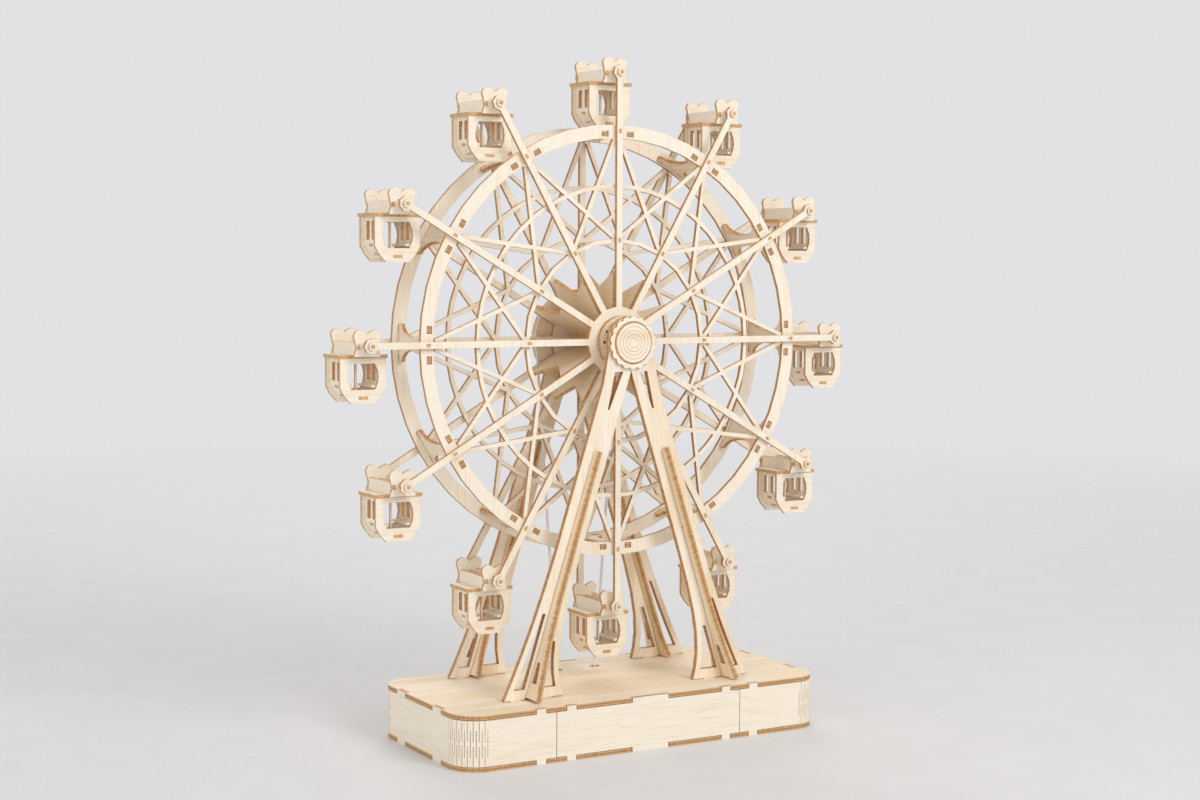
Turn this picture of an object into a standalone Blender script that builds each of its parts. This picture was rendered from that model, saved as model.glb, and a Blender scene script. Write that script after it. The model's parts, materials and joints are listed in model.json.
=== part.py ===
"""Wooden musical ferris wheel, built from laser-cut plywood sheets.

A low box holds a wind-up musical movement. A belt runs from the movement's pulley
up to a pulley on the wheel, which turns between two A-shaped frames and carries
twelve gondolas. All lengths are in metres. +Z is up, the front of the toy looks
along -Y, and the origin is under the middle of the whole toy, on the table.
"""

import math

import bpy
import bmesh
from mathutils import Matrix, Vector

MM = 0.001

# Sheet thicknesses and clearances
SHEET = 2.0 * MM            # thin plywood
FRAME_SHEET = 3.0 * MM      # plywood of the A-frames
GAP = 0.3 * MM              # between two pieces that touch

# Base box
BASE_LENGTH = 200.0 * MM
BASE_DEPTH = 93.0 * MM
BASE_HEIGHT = 26.0 * MM
BASE_CORNER = 14.0 * MM     # outer corner radius
BASE_FRONT_Y = -50.0 * MM
BASE_MIDDLE_Y = BASE_FRONT_Y + BASE_DEPTH / 2
BASE_REAR_Y = BASE_FRONT_Y + BASE_DEPTH
PANEL_WIDTH = 102.0 * MM    # front and rear panels, from seam to seam
SEAM_TAB = 5.0 * MM         # width of the small tabs beside a seam
SEAM_TAB_OFFSET = 8.0 * MM  # from the seam to the middle of each small tab
LONG_TAB = 20.0 * MM        # tab at the middle of each panel
SIDE_TAB = 9.0 * MM         # tabs on the end walls
SIDE_TAB_OFFSET = 20.0 * MM

# Wheel
SPOKES = 12
RIM_OUTER = 104.5 * MM
RIM_WIDTH = 6.5 * MM
CAR_CLEARANCE = 2.0 * MM    # a rim strut to the car that hangs over it
BASE_CLEARANCE = 11.4 * MM  # the base to the lowest car
MIDDLE_RING = 75.0 * MM
INNER_RING = 49.0 * MM
THIN_BAR = 2.0 * MM         # width of the lattice bars and thin rings
SPOKE_WIDTH = 3.2 * MM
EYE_RADIUS = 3.6 * MM       # round end of a spoke
SIDE_INNER = 15.0 * MM      # wheel middle plane to the inner face of its side sheets
RIM_STEPS = 48
RING_STEPS = 48

# Hub, from the middle plane outwards
AXLE_RADIUS = 2.5 * MM
STAR_HUB_RADIUS = 17.0 * MM
FIN_REACH = 34.0 * MM       # hub fins at the side sheets
FIN_WAIST = 26.0 * MM       # hub fins at the middle plane
FIN_CORE = 8.0 * MM
PEG_DISC_RADIUS = 12.6 * MM
PEG_CIRCLE = 9.9 * MM
PEG_HOLE = 0.9 * MM
PEG_DISC_THICKNESS = 3.0 * MM
RING_RADIUS = 12.8 * MM     # scalloped ring round each hub cap
RING_SCALLOPS = 18
RING_THICKNESS = 1.5 * MM
SCALLOP_DEPTH = 0.9 * MM
CAP_RADIUS = 10.0 * MM
CAP_THICKNESS = 2.2 * MM
CAP_CHAMFER = 0.6 * MM

# Cross struts between the two rims
STRUT_WIDTH = 18.0 * MM
STRUT_WAIST = 6.0 * MM      # width of a strut half-way between the rims
STRUT_SHOE = 2.5 * MM       # rim to the start of the waist's curve
STRUT_STEPS = 8
STRUT_INSET = 1.9 * MM      # inner edge of a rim to the middle of a strut
STRUT_TAB = 3.0 * MM
STRUT_TAB_OFFSET = 7.0 * MM

# A-frames
FRAME_Y = 29.5 * MM         # wheel middle plane to the middle of a frame sheet
FRAME_HUB_RADIUS = 12.8 * MM
LEG_TOP_X = 2.3 * MM        # line of a leg at hub height, from the middle
LEG_FOOT_X = 55.6 * MM      # the same line at the top of the base
LEG_HALF_WIDTH = 6.6 * MM
FOOT_OUT = 12.8 * MM        # leg line to the outer end of the foot
FOOT_IN = 19.0 * MM         # leg line to the inner end of the foot
FLARE_START = 0.45          # share of the leg where it starts to widen
OUTER_SWEEP = 2.6           # powers by which the outer and the inner edge sweep out
INNER_SWEEP = 5.0
FOOT_SILL = 5.0 * MM        # wood under the windows of a foot
V_SLOT_WIDTH = 4.6 * MM
V_SLOT_LENGTH = 18.0 * MM
LEG_TAB = 6.0 * MM
FOOT_RIB = 2.8 * MM         # wood round the window of a foot
BRACE_RIB = 2.4 * MM        # wood round the slot of a brace
SPINE_RIB = 1.6 * MM        # wood between a window and the lap slot
LAP_SHARE = 0.54            # share of the leg where the two leg sheets lap
BRACE_OUT = 5.0 * MM        # brace sheet, from the frame's middle outwards
BRACE_IN = 3.4 * MM
BRACE_FOOT = 11.8 * MM      # frame's middle to the outer end of a brace's foot
FOOT_MARGIN = 0.7 * MM      # rear edge of the base to the feet of the rear braces
BRACE_FLARE_HEIGHT = 62.0 * MM
BRACE_TOP = 54.0 * MM       # hub to the top end of a brace, along the leg

# Gondola, measured from its pivot
CAR_WIDTH = 22.6 * MM
CAR_DEPTH = 18.0 * MM
CAR_TOP = -5.5 * MM
CAR_BOTTOM = -26.6 * MM
CAR_CHAMFER = 5.4 * MM
CAR_WALL = 1.6 * MM
ROOF_WIDTH = 24.0 * MM
ROOF_THICKNESS = 1.6 * MM
ROOF_DEPTH = 19.0 * MM
ROOF_SINK = 0.3 * MM        # the roof and the walls under it lap by this
CROWN_Y = 13.5 * MM
CROWN_SHEET = 1.6 * MM
CROWN_HALF_WIDTH = 6.6 * MM
CROWN_WAIST = 5.4 * MM
CROWN_BUMP = 3.1 * MM
CROWN_BUMP_X = 3.7 * MM
CROWN_TOP = 7.5 * MM
RAIL_X = 4.6 * MM
RAIL_TOP = 1.6 * MM
PIN_RADIUS = 1.1 * MM
PIN_HEAD_RADIUS = 2.0 * MM
PIN_HEAD = 0.9 * MM
TUB_INSET = 1.8 * MM        # side walls and floor, in from the edge of the end walls
WINDOW_HALF_WIDTH = 7.7 * MM
WINDOW_BULGE = 1.8 * MM
WINDOW_HEIGHT = 12.0 * MM
WINDOW_LIFT = 1.8 * MM      # middle of the car to the middle of its front window
SIDE_WINDOW_WIDTH = 3.7 * MM
SIDE_WINDOW_HEIGHT = 8.6 * MM
SIDE_WINDOW_LIFT = 4.0 * MM
MULLION = 2.4 * MM          # bar between the two windows of a side
BENCH = 3.4 * MM
BENCH_THICKNESS = 1.2 * MM
BENCH_TOP = -18.2 * MM

# Belt drive
WHEEL_BELT_RADIUS = 23.5 * MM
BELT_RADIUS = 0.7 * MM
BELT_CLEARANCE = 1.0 * MM
PULLEY_FLANGE = 1.1 * MM    # flange above the belt's middle line
DRIVE_FLANGE = 0.55 * MM
PULLEY_CLEARANCE = 0.45 * MM    # drive pulley to the plates over and under it
PULLEY_THICKNESS = 5.0 * MM
GROOVE_HALF_WIDTH = 1.5 * MM

# Movement
SHAFT_RADIUS = 1.2 * MM
GEAR_CLEARANCE = 0.3125 * MM    # barrel's gear to the bedplate
CYLINDER_TEETH = 10
BARREL_TEETH = 16
GOVERNOR_TEETH = 8
GEAR_WIDTH = 3.0 * MM
GEAR_SPACE = 5.0 * MM       # gears to the rear bracket, between their middles
CYLINDER_RADIUS = 6.0 * MM
CYLINDER_LENGTH = 18.4 * MM
DRUM_CLEARANCE = 0.75 * MM  # cylinder to barrel
BARREL_WALL = 0.9 * MM
BARREL_FLOOR = 1.2 * MM
SHAFT_OVERHANG = 1.0 * MM
ARBOR_RADIUS = 1.5 * MM
BEDPLATE = 1.2 * MM
BED_MARGIN = 3.0 * MM       # bedplate outside the front bracket
BRACKET = 2.0 * MM
BRACKET_SPACE = 6.0 * MM    # front bracket's middle to the cylinder
PULLEY_SPACE = 2.1 * MM     # rear bracket to the drive pulley
BRACKET_SIDE = 4.0 * MM     # from the cylinder's shaft to the bracket's edge
BRACKET_RISE = 5.0 * MM     # from a shaft to the bracket's top
COMB_TEETH = 18
COMB_THICKNESS = 0.8 * MM
COMB_REACH = 14.0 * MM
COMB_HEEL = 4.0 * MM        # comb behind its roots
COMB_SEAT = 7.0 * MM
FAN_RADIUS = 5.0 * MM
SPRING_TURNS = 3.5
SPRING_THICKNESS = 0.3 * MM
SPRING_CLEARANCE = 0.5 * MM
KEY_RADIUS = 9.5 * MM
KEY_LOBES = 12
KEY_THICKNESS = 6.7 * MM
KEY_BORE_FLOOR = 2.0 * MM
KEY_WAVE = 0.5 * MM         # half of the depth of its lobes
FAN_THICKNESS = 1.0 * MM
FAN_LENGTH = 12.0 * MM

# Sizes that follow from these
RIM_INNER = RIM_OUTER - RIM_WIDTH
NODE_RADIUS = RIM_OUTER - RIM_WIDTH / 2     # where the lattice bars meet at the rim
STRUT_RADIUS = RIM_INNER + STRUT_INSET
PIVOT_RADIUS = STRUT_RADIUS + SHEET / 2 + CAR_CLEARANCE - CAR_BOTTOM
HUB_HEIGHT = BASE_HEIGHT + BASE_CLEARANCE - CAR_BOTTOM + PIVOT_RADIUS
WHEEL_Y = BASE_REAR_Y - FOOT_MARGIN - BRACE_FOOT - FRAME_Y      # middle plane of the wheel
SHAFT_HEIGHT = BASE_HEIGHT / 2
DRIVE_BELT_RADIUS = SHAFT_HEIGHT - SHEET - PULLEY_CLEARANCE - DRIVE_FLANGE

PLYWOOD = (0.83, 0.68, 0.49)
TANNED_PLYWOOD = (0.72, 0.53, 0.34)
BRASS = (0.78, 0.60, 0.28)
STEEL = (0.62, 0.63, 0.65)
ZINC = (0.50, 0.51, 0.53)
CLEAR_ELASTIC = (0.82, 0.86, 0.90)


# Scene and object helpers

def clear_scene():
    for item in list(bpy.data.objects):
        bpy.data.objects.remove(item, do_unlink=True)


def new_collection(name):
    group = bpy.data.collections.new(name)
    bpy.context.scene.collection.children.link(group)
    return group


clear_scene()
PARTS = new_collection("wooden_musical_ferris_wheel")
CUTTERS = new_collection("cutters")


def finish(name, colour, roughness=0.6, metallic=0.0):
    """A material named after its sub-part."""
    surface = bpy.data.materials.new(name)
    surface.use_nodes = True
    shader = surface.node_tree.nodes["Principled BSDF"]
    shader.inputs["Base Color"].default_value = (*colour, 1.0)
    shader.inputs["Roughness"].default_value = roughness
    shader.inputs["Metallic"].default_value = metallic
    return surface


def dress(item, colour, roughness=0.6, metallic=0.0):
    """Makes a piece plain mesh, smooth between its sharp edges, in its own material."""
    name = item.name
    parent = item.parent
    basis = item.matrix_basis.copy()
    solid = data_object("solid", baked(item, own_space=True))
    solid.name = name
    solid.parent = parent
    solid.matrix_basis = basis
    solid.data.name = name
    solid.data.shade_smooth()
    solid.data.set_sharp_from_angle(angle=math.radians(35))
    solid.data.materials.clear()
    solid.data.materials.append(finish(name, colour, roughness, metallic))
    return solid


def empty(name, location, parent=None):
    guide = bpy.data.objects.new(name, None)
    guide.empty_display_size = 5 * MM
    guide.location = location
    guide.parent = parent
    PARTS.objects.link(guide)
    return guide


def place(item, location=(0, 0, 0), rotation=(0, 0, 0), parent=None):
    item.location = location
    item.rotation_euler = rotation
    item.parent = parent
    return item


def mesh_object(name, shape):
    """An object from a bmesh, which is freed."""
    data = bpy.data.meshes.new(name)
    shape.to_mesh(data)
    shape.free()
    return data_object(name, data)


def sheet(name, outline, holes=(), thickness=SHEET):
    """A flat plate cut to an outline in its own XY plane, as a filled 2D curve."""
    data = bpy.data.curves.new(name, "CURVE")
    data.dimensions = "2D"
    data.fill_mode = "BOTH"
    data.extrude = thickness / 2
    for points in (outline, *holes):
        spline = data.splines.new("POLY")
        spline.points.add(len(points) - 1)
        for point, (x, y) in zip(spline.points, points):
            point.co = (x, y, 0, 1)
        spline.use_cyclic_u = True
    item = bpy.data.objects.new(name, data)
    PARTS.objects.link(item)
    return item


def baked(item, own_space=False):
    """The finished shape of an object as clean mesh data; the object and its helpers go.

    The data is in world space, or in the object's own space when asked.
    """
    bpy.context.view_layer.update()
    graph = bpy.context.evaluated_depsgraph_get()
    data = bpy.data.meshes.new_from_object(item.evaluated_get(graph))
    if not own_space:
        data.transform(item.matrix_world)
    helpers = [step.object for step in item.modifiers if step.type == "BOOLEAN"]
    for finished in (item, *helpers):
        bpy.data.objects.remove(finished, do_unlink=True)
    shape = bmesh.new()
    shape.from_mesh(data)
    bmesh.ops.remove_doubles(shape, verts=shape.verts, dist=0.001 * MM)
    bmesh.ops.dissolve_limit(shape, verts=shape.verts, edges=shape.edges,
                             angle_limit=math.radians(0.5))
    loose = [vertex for vertex in shape.verts if not vertex.link_faces]
    bmesh.ops.delete(shape, geom=loose, context="VERTS")
    shape.to_mesh(data)
    shape.free()
    return data


def as_mesh(item):
    """Turns a curve or modified object into a plain mesh object at the world origin."""
    name = item.name
    return data_object(name, baked(item))


def data_object(name, data):
    item = bpy.data.objects.new(name, data)
    PARTS.objects.link(item)
    return item


def combine(target, other, operation):
    """Boolean of two mesh objects; the second one becomes a cutter or guide."""
    step = target.modifiers.new(operation.title(), "BOOLEAN")
    step.operation = operation
    step.object = other
    step.solver = "EXACT"
    for group in list(other.users_collection):
        group.objects.unlink(other)
    CUTTERS.objects.link(other)
    other.hide_render = True
    other.display_type = "WIRE"
    return step


def cut(target, other):
    return combine(target, other, "DIFFERENCE")


def join(target, other):
    return combine(target, other, "UNION")


def boxes(name, corners):
    """One mesh of separate boxes, each given by its lowest and highest corner."""
    shape = bmesh.new()
    for low, high in corners:
        low = Vector(low)
        high = Vector(high)
        size = high - low
        matrix = Matrix.Translation((low + high) / 2) @ Matrix.Diagonal((*size, 1))
        bmesh.ops.create_cube(shape, size=1, matrix=matrix)
    return mesh_object(name, shape)


def turned(name, profile, steps=32, closed=False):
    """A turned piece about local Z, from a profile of (radius, height) points."""
    data = bpy.data.meshes.new(name)
    count = len(profile)
    edges = [(i, i + 1) for i in range(count - 1)]
    if closed:
        edges.append((count - 1, 0))
    data.from_pydata([(r, 0, z) for r, z in profile], edges, [])
    item = bpy.data.objects.new(name, data)
    PARTS.objects.link(item)
    screw = item.modifiers.new("Turn", "SCREW")
    screw.steps = steps
    screw.render_steps = steps
    screw.use_merge_vertices = True
    screw.merge_threshold = 0.01 * MM
    screw.use_smooth_shade = False
    return item


def rod(name, radius, length, steps=16):
    shape = bmesh.new()
    bmesh.ops.create_cone(shape, cap_ends=True, segments=steps,
                          radius1=radius, radius2=radius, depth=length)
    return mesh_object(name, shape)


def circle(radius, steps, centre=(0, 0), start=0.0):
    """Points round a circle, anticlockwise."""
    points = []
    for i in range(steps):
        angle = start + 2 * math.pi * i / steps
        points.append((centre[0] + radius * math.cos(angle), centre[1] + radius * math.sin(angle)))
    return points


def arc(centre, radius, start, end, steps):
    """Points along an arc, its two ends included; angles in degrees."""
    points = []
    for i in range(steps + 1):
        angle = math.radians(start + (end - start) * i / steps)
        points.append((centre[0] + radius * math.cos(angle), centre[1] + radius * math.sin(angle)))
    return points


def polar(radius, angle, across=0.0):
    """A point at a clock angle (from the top, clockwise), moved sideways by across."""
    x = radius * math.sin(angle) + across * math.cos(angle)
    y = radius * math.cos(angle) - across * math.sin(angle)
    return (x, y)


def rectangle(low_x, low_y, high_x, high_y):
    return [(low_x, low_y), (high_x, low_y), (high_x, high_y), (low_x, high_y)]


UPRIGHT = (math.pi / 2, 0, 0)   # a sheet drawn in XY stands up, its +Z face to the front


def standing(name, outline, thickness, holes=(), y=0.0):
    """The mesh of a sheet that stands in the XZ plane, its middle at y."""
    return as_mesh(place(sheet(name, outline, holes, thickness), (0, y, 0), UPRIGHT))


# Base box

def rounded_rectangle(half_x, half_y, radius, steps=6):
    points = []
    for sign_x, sign_y, start in ((1, 1, 0), (-1, 1, 90), (-1, -1, 180), (1, -1, 270)):
        centre = (sign_x * (half_x - radius), sign_y * (half_y - radius))
        points += arc(centre, radius, start, start + 90, steps)
    return points


def long_side_tabs():
    """Middle and width of each tab along the front or rear, from the middle."""
    seam = PANEL_WIDTH / 2
    tabs = [(0.0, LONG_TAB)]
    for side in (-1, 1):
        tabs.append((side * (seam - SEAM_TAB_OFFSET), SEAM_TAB))
        tabs.append((side * (seam + SEAM_TAB_OFFSET), SEAM_TAB))
    return tabs


def end_tabs():
    return [(BASE_MIDDLE_Y - SIDE_TAB_OFFSET, SIDE_TAB), (BASE_MIDDLE_Y + SIDE_TAB_OFFSET, SIDE_TAB)]


def plate_notches(middle_z):
    """Boxes that clear the wall tabs from the edge of a plate."""
    low_z = middle_z - SHEET
    high_z = middle_z + SHEET
    deep = SHEET + GAP
    corners = []
    for middle, width in long_side_tabs():
        half = width / 2 + GAP
        corners.append(((middle - half, BASE_FRONT_Y - SHEET, low_z),
                        (middle + half, BASE_FRONT_Y + deep, high_z)))
        corners.append(((middle - half, BASE_REAR_Y - deep, low_z),
                        (middle + half, BASE_REAR_Y + SHEET, high_z)))
    end = BASE_LENGTH / 2
    for middle, width in end_tabs():
        half = width / 2 + GAP
        corners.append(((-end - SHEET, middle - half, low_z), (-end + deep, middle + half, high_z)))
        corners.append(((end - deep, middle - half, low_z), (end + SHEET, middle + half, high_z)))
    return corners


def frame_tab_spans():
    """The x range of every A-frame tab: halfway between the leg line and each end of a foot."""
    spans = []
    for side in (-1, 1):
        for reach in (-FOOT_IN, FOOT_OUT):
            middle = side * (LEG_FOOT_X + reach / 2)
            spans.append((middle - LEG_TAB / 2, middle + LEG_TAB / 2))
    return spans


def belt_x(height):
    """Distance of each belt run from the middle, at a height above the table."""
    rise = (height - SHAFT_HEIGHT) / (HUB_HEIGHT - SHAFT_HEIGHT)
    return DRIVE_BELT_RADIUS + (WHEEL_BELT_RADIUS - DRIVE_BELT_RADIUS) * rise


def top_plate_mortises(middle_z):
    """Boxes for the A-frame tabs and the two runs of the belt."""
    low_z = middle_z - SHEET
    high_z = middle_z + SHEET
    corners = []
    half = FRAME_SHEET / 2 + GAP
    for y in (WHEEL_Y - FRAME_Y, WHEEL_Y + FRAME_Y):
        for low, high in frame_tab_spans():
            corners.append(((low - GAP, y - half, low_z), (high + GAP, y + half, high_z)))
    y = WHEEL_Y + PULLEY_Y
    half = BELT_RADIUS + BELT_CLEARANCE
    for side in (-1, 1):
        x = side * belt_x(BASE_HEIGHT)
        corners.append(((x - 1.5 * half, y - half, low_z), (x + 1.5 * half, y + half, high_z)))
    return corners


def make_base_plates():
    outline = rounded_rectangle(BASE_LENGTH / 2, BASE_DEPTH / 2, BASE_CORNER)
    for name, middle_z in (("base_bottom_plate", SHEET / 2), ("base_top_plate", BASE_HEIGHT - SHEET / 2)):
        plate = as_mesh(place(sheet(name, outline), (0, BASE_MIDDLE_Y, middle_z)))
        corners = plate_notches(middle_z)
        if name == "base_top_plate":
            corners += top_plate_mortises(middle_z)
        cut(plate, boxes(name + "_notches", corners))
        dress(plate, PLYWOOD)


def panel_outline():
    """Front view of a panel with its tabs up and down, about the panel's middle."""
    half = PANEL_WIDTH / 2 - GAP / 2
    low = -BASE_HEIGHT / 2
    shoulder = SHEET + GAP
    tabs = sorted(tab for tab in long_side_tabs() if abs(tab[0]) < PANEL_WIDTH / 2)
    bottom = [(-half, low + shoulder)]
    for middle, width in tabs:
        bottom += [(middle - width / 2, low + shoulder), (middle - width / 2, low),
                   (middle + width / 2, low), (middle + width / 2, low + shoulder)]
    bottom.append((half, low + shoulder))
    top = [(x, -z) for x, z in reversed(bottom)]
    return bottom + top


def make_panels():
    for name, y in (("base_front_panel", BASE_FRONT_Y + SHEET / 2),
                    ("base_rear_panel", BASE_REAR_Y - SHEET / 2)):
        holes = []
        if name == "base_rear_panel":
            centre = (BARREL_X, SHAFT_HEIGHT - BASE_HEIGHT / 2)
            holes = [circle(ARBOR_RADIUS + GAP, 16, centre)]
        panel = sheet(name, panel_outline(), holes)
        place(panel, (0, y, BASE_HEIGHT / 2), UPRIGHT)
        dress(panel, PLYWOOD)


def wrap_outline(side):
    """Plan of a bent end wall: straight, round the corner, along the end and back."""
    end = BASE_LENGTH / 2
    seam = PANEL_WIDTH / 2 + GAP / 2
    half_y = BASE_DEPTH / 2
    centre_x = end - BASE_CORNER
    centre_y = half_y - BASE_CORNER
    points = [(seam, -half_y)]
    points += arc((centre_x, -centre_y), BASE_CORNER, -90, 0, 6)
    points += arc((centre_x, centre_y), BASE_CORNER, 0, 90, 6)
    points += [(seam, half_y), (seam, half_y - SHEET)]
    points += arc((centre_x, centre_y), BASE_CORNER - SHEET, 90, 0, 6)
    points += arc((centre_x, -centre_y), BASE_CORNER - SHEET, 0, -90, 6)
    points.append((seam, -half_y + SHEET))
    if side < 0:
        points = [(-x, y) for x, y in reversed(points)]
    return points


def make_wrap_walls():
    for name, side in (("base_left_wall", -1), ("base_right_wall", 1)):
        wall = sheet(name, wrap_outline(side), thickness=BASE_HEIGHT - 2 * (SHEET + GAP))
        place(wall, (0, BASE_MIDDLE_Y, BASE_HEIGHT / 2))
        wall = as_mesh(wall)
        middle = side * (PANEL_WIDTH / 2 + SEAM_TAB_OFFSET)
        low_x = middle - SEAM_TAB / 2
        high_x = middle + SEAM_TAB / 2
        corners = [((low_x, BASE_FRONT_Y, 0), (high_x, BASE_FRONT_Y + SHEET, BASE_HEIGHT)),
                   ((low_x, BASE_REAR_Y - SHEET, 0), (high_x, BASE_REAR_Y, BASE_HEIGHT))]
        end = BASE_LENGTH / 2
        low_x, high_x = (end - SHEET, end) if side > 0 else (-end, -end + SHEET)
        for middle, width in end_tabs():
            corners.append(((low_x, middle - width / 2, 0), (high_x, middle + width / 2, BASE_HEIGHT)))
        join(wall, boxes(name + "_tabs", corners))
        dress(wall, PLYWOOD)


# A-frames

LEG_DROP = HUB_HEIGHT - BASE_HEIGHT
LEG_LEAN = math.atan2(LEG_FOOT_X - LEG_TOP_X, LEG_DROP)
LEG_SLANT = math.hypot(LEG_FOOT_X - LEG_TOP_X, LEG_DROP)
FOOT_SHARE = 1 - GAP / LEG_DROP
LAP_SLOT = FRAME_SHEET / 2 + GAP


def leg_line(share):
    """Sideways place of the leg's straight middle line; share is 0 at the hub and 1 at the base."""
    return LEG_TOP_X + (LEG_FOOT_X - LEG_TOP_X) * share


def leg_edge(share, side, margin=0.0):
    """A point on the outer (1) or inner (-1) edge of the right leg, about the hub."""
    flare = max(0.0, (share - FLARE_START) / (1 - FLARE_START))
    if side > 0:
        half = LEG_HALF_WIDTH + (FOOT_OUT - LEG_HALF_WIDTH) * flare ** OUTER_SWEEP
    else:
        half = LEG_HALF_WIDTH + (FOOT_IN - LEG_HALF_WIDTH) * flare ** INNER_SWEEP
    return (leg_line(share) + side * (half - margin), -LEG_DROP * share)


def foot_edge():
    """The right foot's lower edge: its tabs and the slot that takes the brace."""
    bottom = -LEG_DROP * FOOT_SHARE
    tab_bottom = -LEG_DROP - SHEET + GAP
    inner, outer = sorted(span for span in frame_tab_spans() if span[0] > 0)
    points = [(outer[1], bottom), (outer[1], tab_bottom), (outer[0], tab_bottom), (outer[0], bottom)]
    points += [(leg_line(FOOT_SHARE) + LAP_SLOT, bottom),
               (leg_line(LAP_SHARE) + LAP_SLOT, -LEG_DROP * LAP_SHARE),
               (leg_line(LAP_SHARE) - LAP_SLOT, -LEG_DROP * LAP_SHARE),
               (leg_line(FOOT_SHARE) - LAP_SLOT, bottom)]
    points += [(inner[1], bottom), (inner[1], tab_bottom), (inner[0], tab_bottom), (inner[0], bottom)]
    return points


def leg_windows():
    """The cut-outs of the right leg: a V below the hub and one in each half of the foot."""
    top = 1.08 * FRAME_HUB_RADIUS / LEG_DROP
    low = top + V_SLOT_LENGTH / LEG_DROP
    half = V_SLOT_WIDTH / 2
    windows = [[(leg_line(top) - half, -top * LEG_DROP), (leg_line(low) - 0.2 * half, -low * LEG_DROP),
                (leg_line(low) + 0.2 * half, -low * LEG_DROP), (leg_line(top) + half, -top * LEG_DROP)]]
    spine = LAP_SLOT + SPINE_RIB
    stop = 1 - FOOT_SILL / LEG_DROP
    for side, start in ((1, 0.76), (-1, 0.84)):
        window = [leg_edge(start + (stop - start) * part, side, FOOT_RIB) for part in (0.0, 0.4, 0.7, 1.0)]
        for share in (stop, start):
            window.append((leg_line(share) + side * spine, -LEG_DROP * share))
        windows.append(window)
    return windows


def mirrored(points):
    return [(-x, y) for x, y in reversed(points)]


def frame_outline():
    """The A-shaped sheet about the hub, clockwise from the top."""
    outer_shares = [0.12, 0.3, FLARE_START, 0.6, 0.7, 0.79, 0.87, 0.94, FOOT_SHARE]
    inner_shares = [FOOT_SHARE, 0.965, 0.92, 0.86, 0.79, 0.7, 0.6, FLARE_START]
    right = arc((0, 0), FRAME_HUB_RADIUS, 90, -18, 9)
    right += [leg_edge(share, 1) for share in outer_shares]
    right += foot_edge()
    right += [leg_edge(share, -1) for share in inner_shares]
    crotch = (LEG_HALF_WIDTH - LEG_TOP_X) / math.tan(LEG_LEAN)
    right.append((0, -crotch))
    return right + mirrored(right)[1:-1]


def brace_profile():
    """Outer and inner edge of a brace: distance down the leg, and reach from the frame's middle."""
    foot = LEG_SLANT * FOOT_SHARE - 2 * GAP
    outer = [(BRACE_TOP, BRACE_OUT * 0.8)]
    for share in (0.0, 0.25, 0.5, 0.72, 0.88, 1.0):
        down = foot - BRACE_FLARE_HEIGHT * (1 - share)
        outer.append((down, BRACE_OUT + (BRACE_FOOT - BRACE_OUT) * share ** 2.2))
    inner = [(BRACE_TOP, BRACE_IN)]
    for share in (0.0, 0.5, 1.0):
        down = foot - BRACE_FLARE_HEIGHT / 3 * (1 - share)
        inner.append((down, BRACE_IN + (BRACE_FOOT * 0.66 - BRACE_IN) * share ** 1.8))
    return outer, inner


def brace_outline():
    """The brace in its own plane: x outwards from the wheel, y up along the leg."""
    outer, inner = brace_profile()
    lap = LEG_SLANT * LAP_SHARE + 3 * GAP
    points = [(reach, -down) for down, reach in outer]
    points += [(-reach, -down) for down, reach in reversed(inner)]
    points += [(-LAP_SLOT, -BRACE_TOP), (-LAP_SLOT, -lap), (LAP_SLOT, -lap), (LAP_SLOT, -BRACE_TOP)]
    return points


def brace_window():
    """A long slot in the flared outer half of a brace."""
    outer, _ = brace_profile()
    inner_x = LAP_SLOT + SPINE_RIB
    points = [(reach - BRACE_RIB, -down) for down, reach in outer[4:6]]
    points += [(inner_x, -outer[5][0]), (inner_x, -outer[4][0])]
    return points


def make_frames():
    for end, facing in (("front", -1), ("rear", 1)):
        y = WHEEL_Y + facing * FRAME_Y
        windows = leg_windows()
        holes = windows + [mirrored(window) for window in windows]
        holes.append(circle(AXLE_RADIUS + GAP, 16))
        frame = sheet(end + "_a_frame", frame_outline(), holes, FRAME_SHEET)
        place(frame, (0, y, HUB_HEIGHT), UPRIGHT)
        dress(frame, PLYWOOD)
        for side_name, side in (("left", -1), ("right", 1)):
            brace = sheet(end + "_" + side_name + "_brace", brace_outline(), [brace_window()], FRAME_SHEET)
            lean = Matrix.Rotation(-side * LEG_LEAN, 4, "Y")
            stand = Matrix.Rotation(math.pi / 2 * facing, 4, "Z") @ Matrix.Rotation(math.pi / 2, 4, "X")
            brace.matrix_basis = Matrix.Translation((side * LEG_TOP_X, y, HUB_HEIGHT)) @ lean @ stand
            dress(brace, TANNED_PLYWOOD)


# Wheel

CLOCK = [2 * math.pi * k / SPOKES for k in range(SPOKES)]
SIDE_Y = SIDE_INNER + SHEET / 2
STAR_Y = SIDE_INNER + SHEET + GAP + SHEET / 2
OUTSIDE_Y = SIDE_INNER + 2 * SHEET + 2 * GAP
PULLEY_Y = OUTSIDE_Y + PULLEY_THICKNESS / 2
FRAME_FACE_Y = FRAME_Y + FRAME_SHEET / 2
INNER_WIDTH = 2 * (SIDE_INNER - GAP)


def add_bar(shape, start, end, width, thickness):
    """Adds a straight flat bar between two points of the XY plane."""
    start = Vector((*start, 0))
    end = Vector((*end, 0))
    along = end - start
    size = Matrix.Diagonal((along.length, width, thickness, 1))
    turn = Matrix.Rotation(math.atan2(along.y, along.x), 4, "Z")
    bmesh.ops.create_cube(shape, size=1, matrix=Matrix.Translation((start + end) / 2) @ turn @ size)


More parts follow.
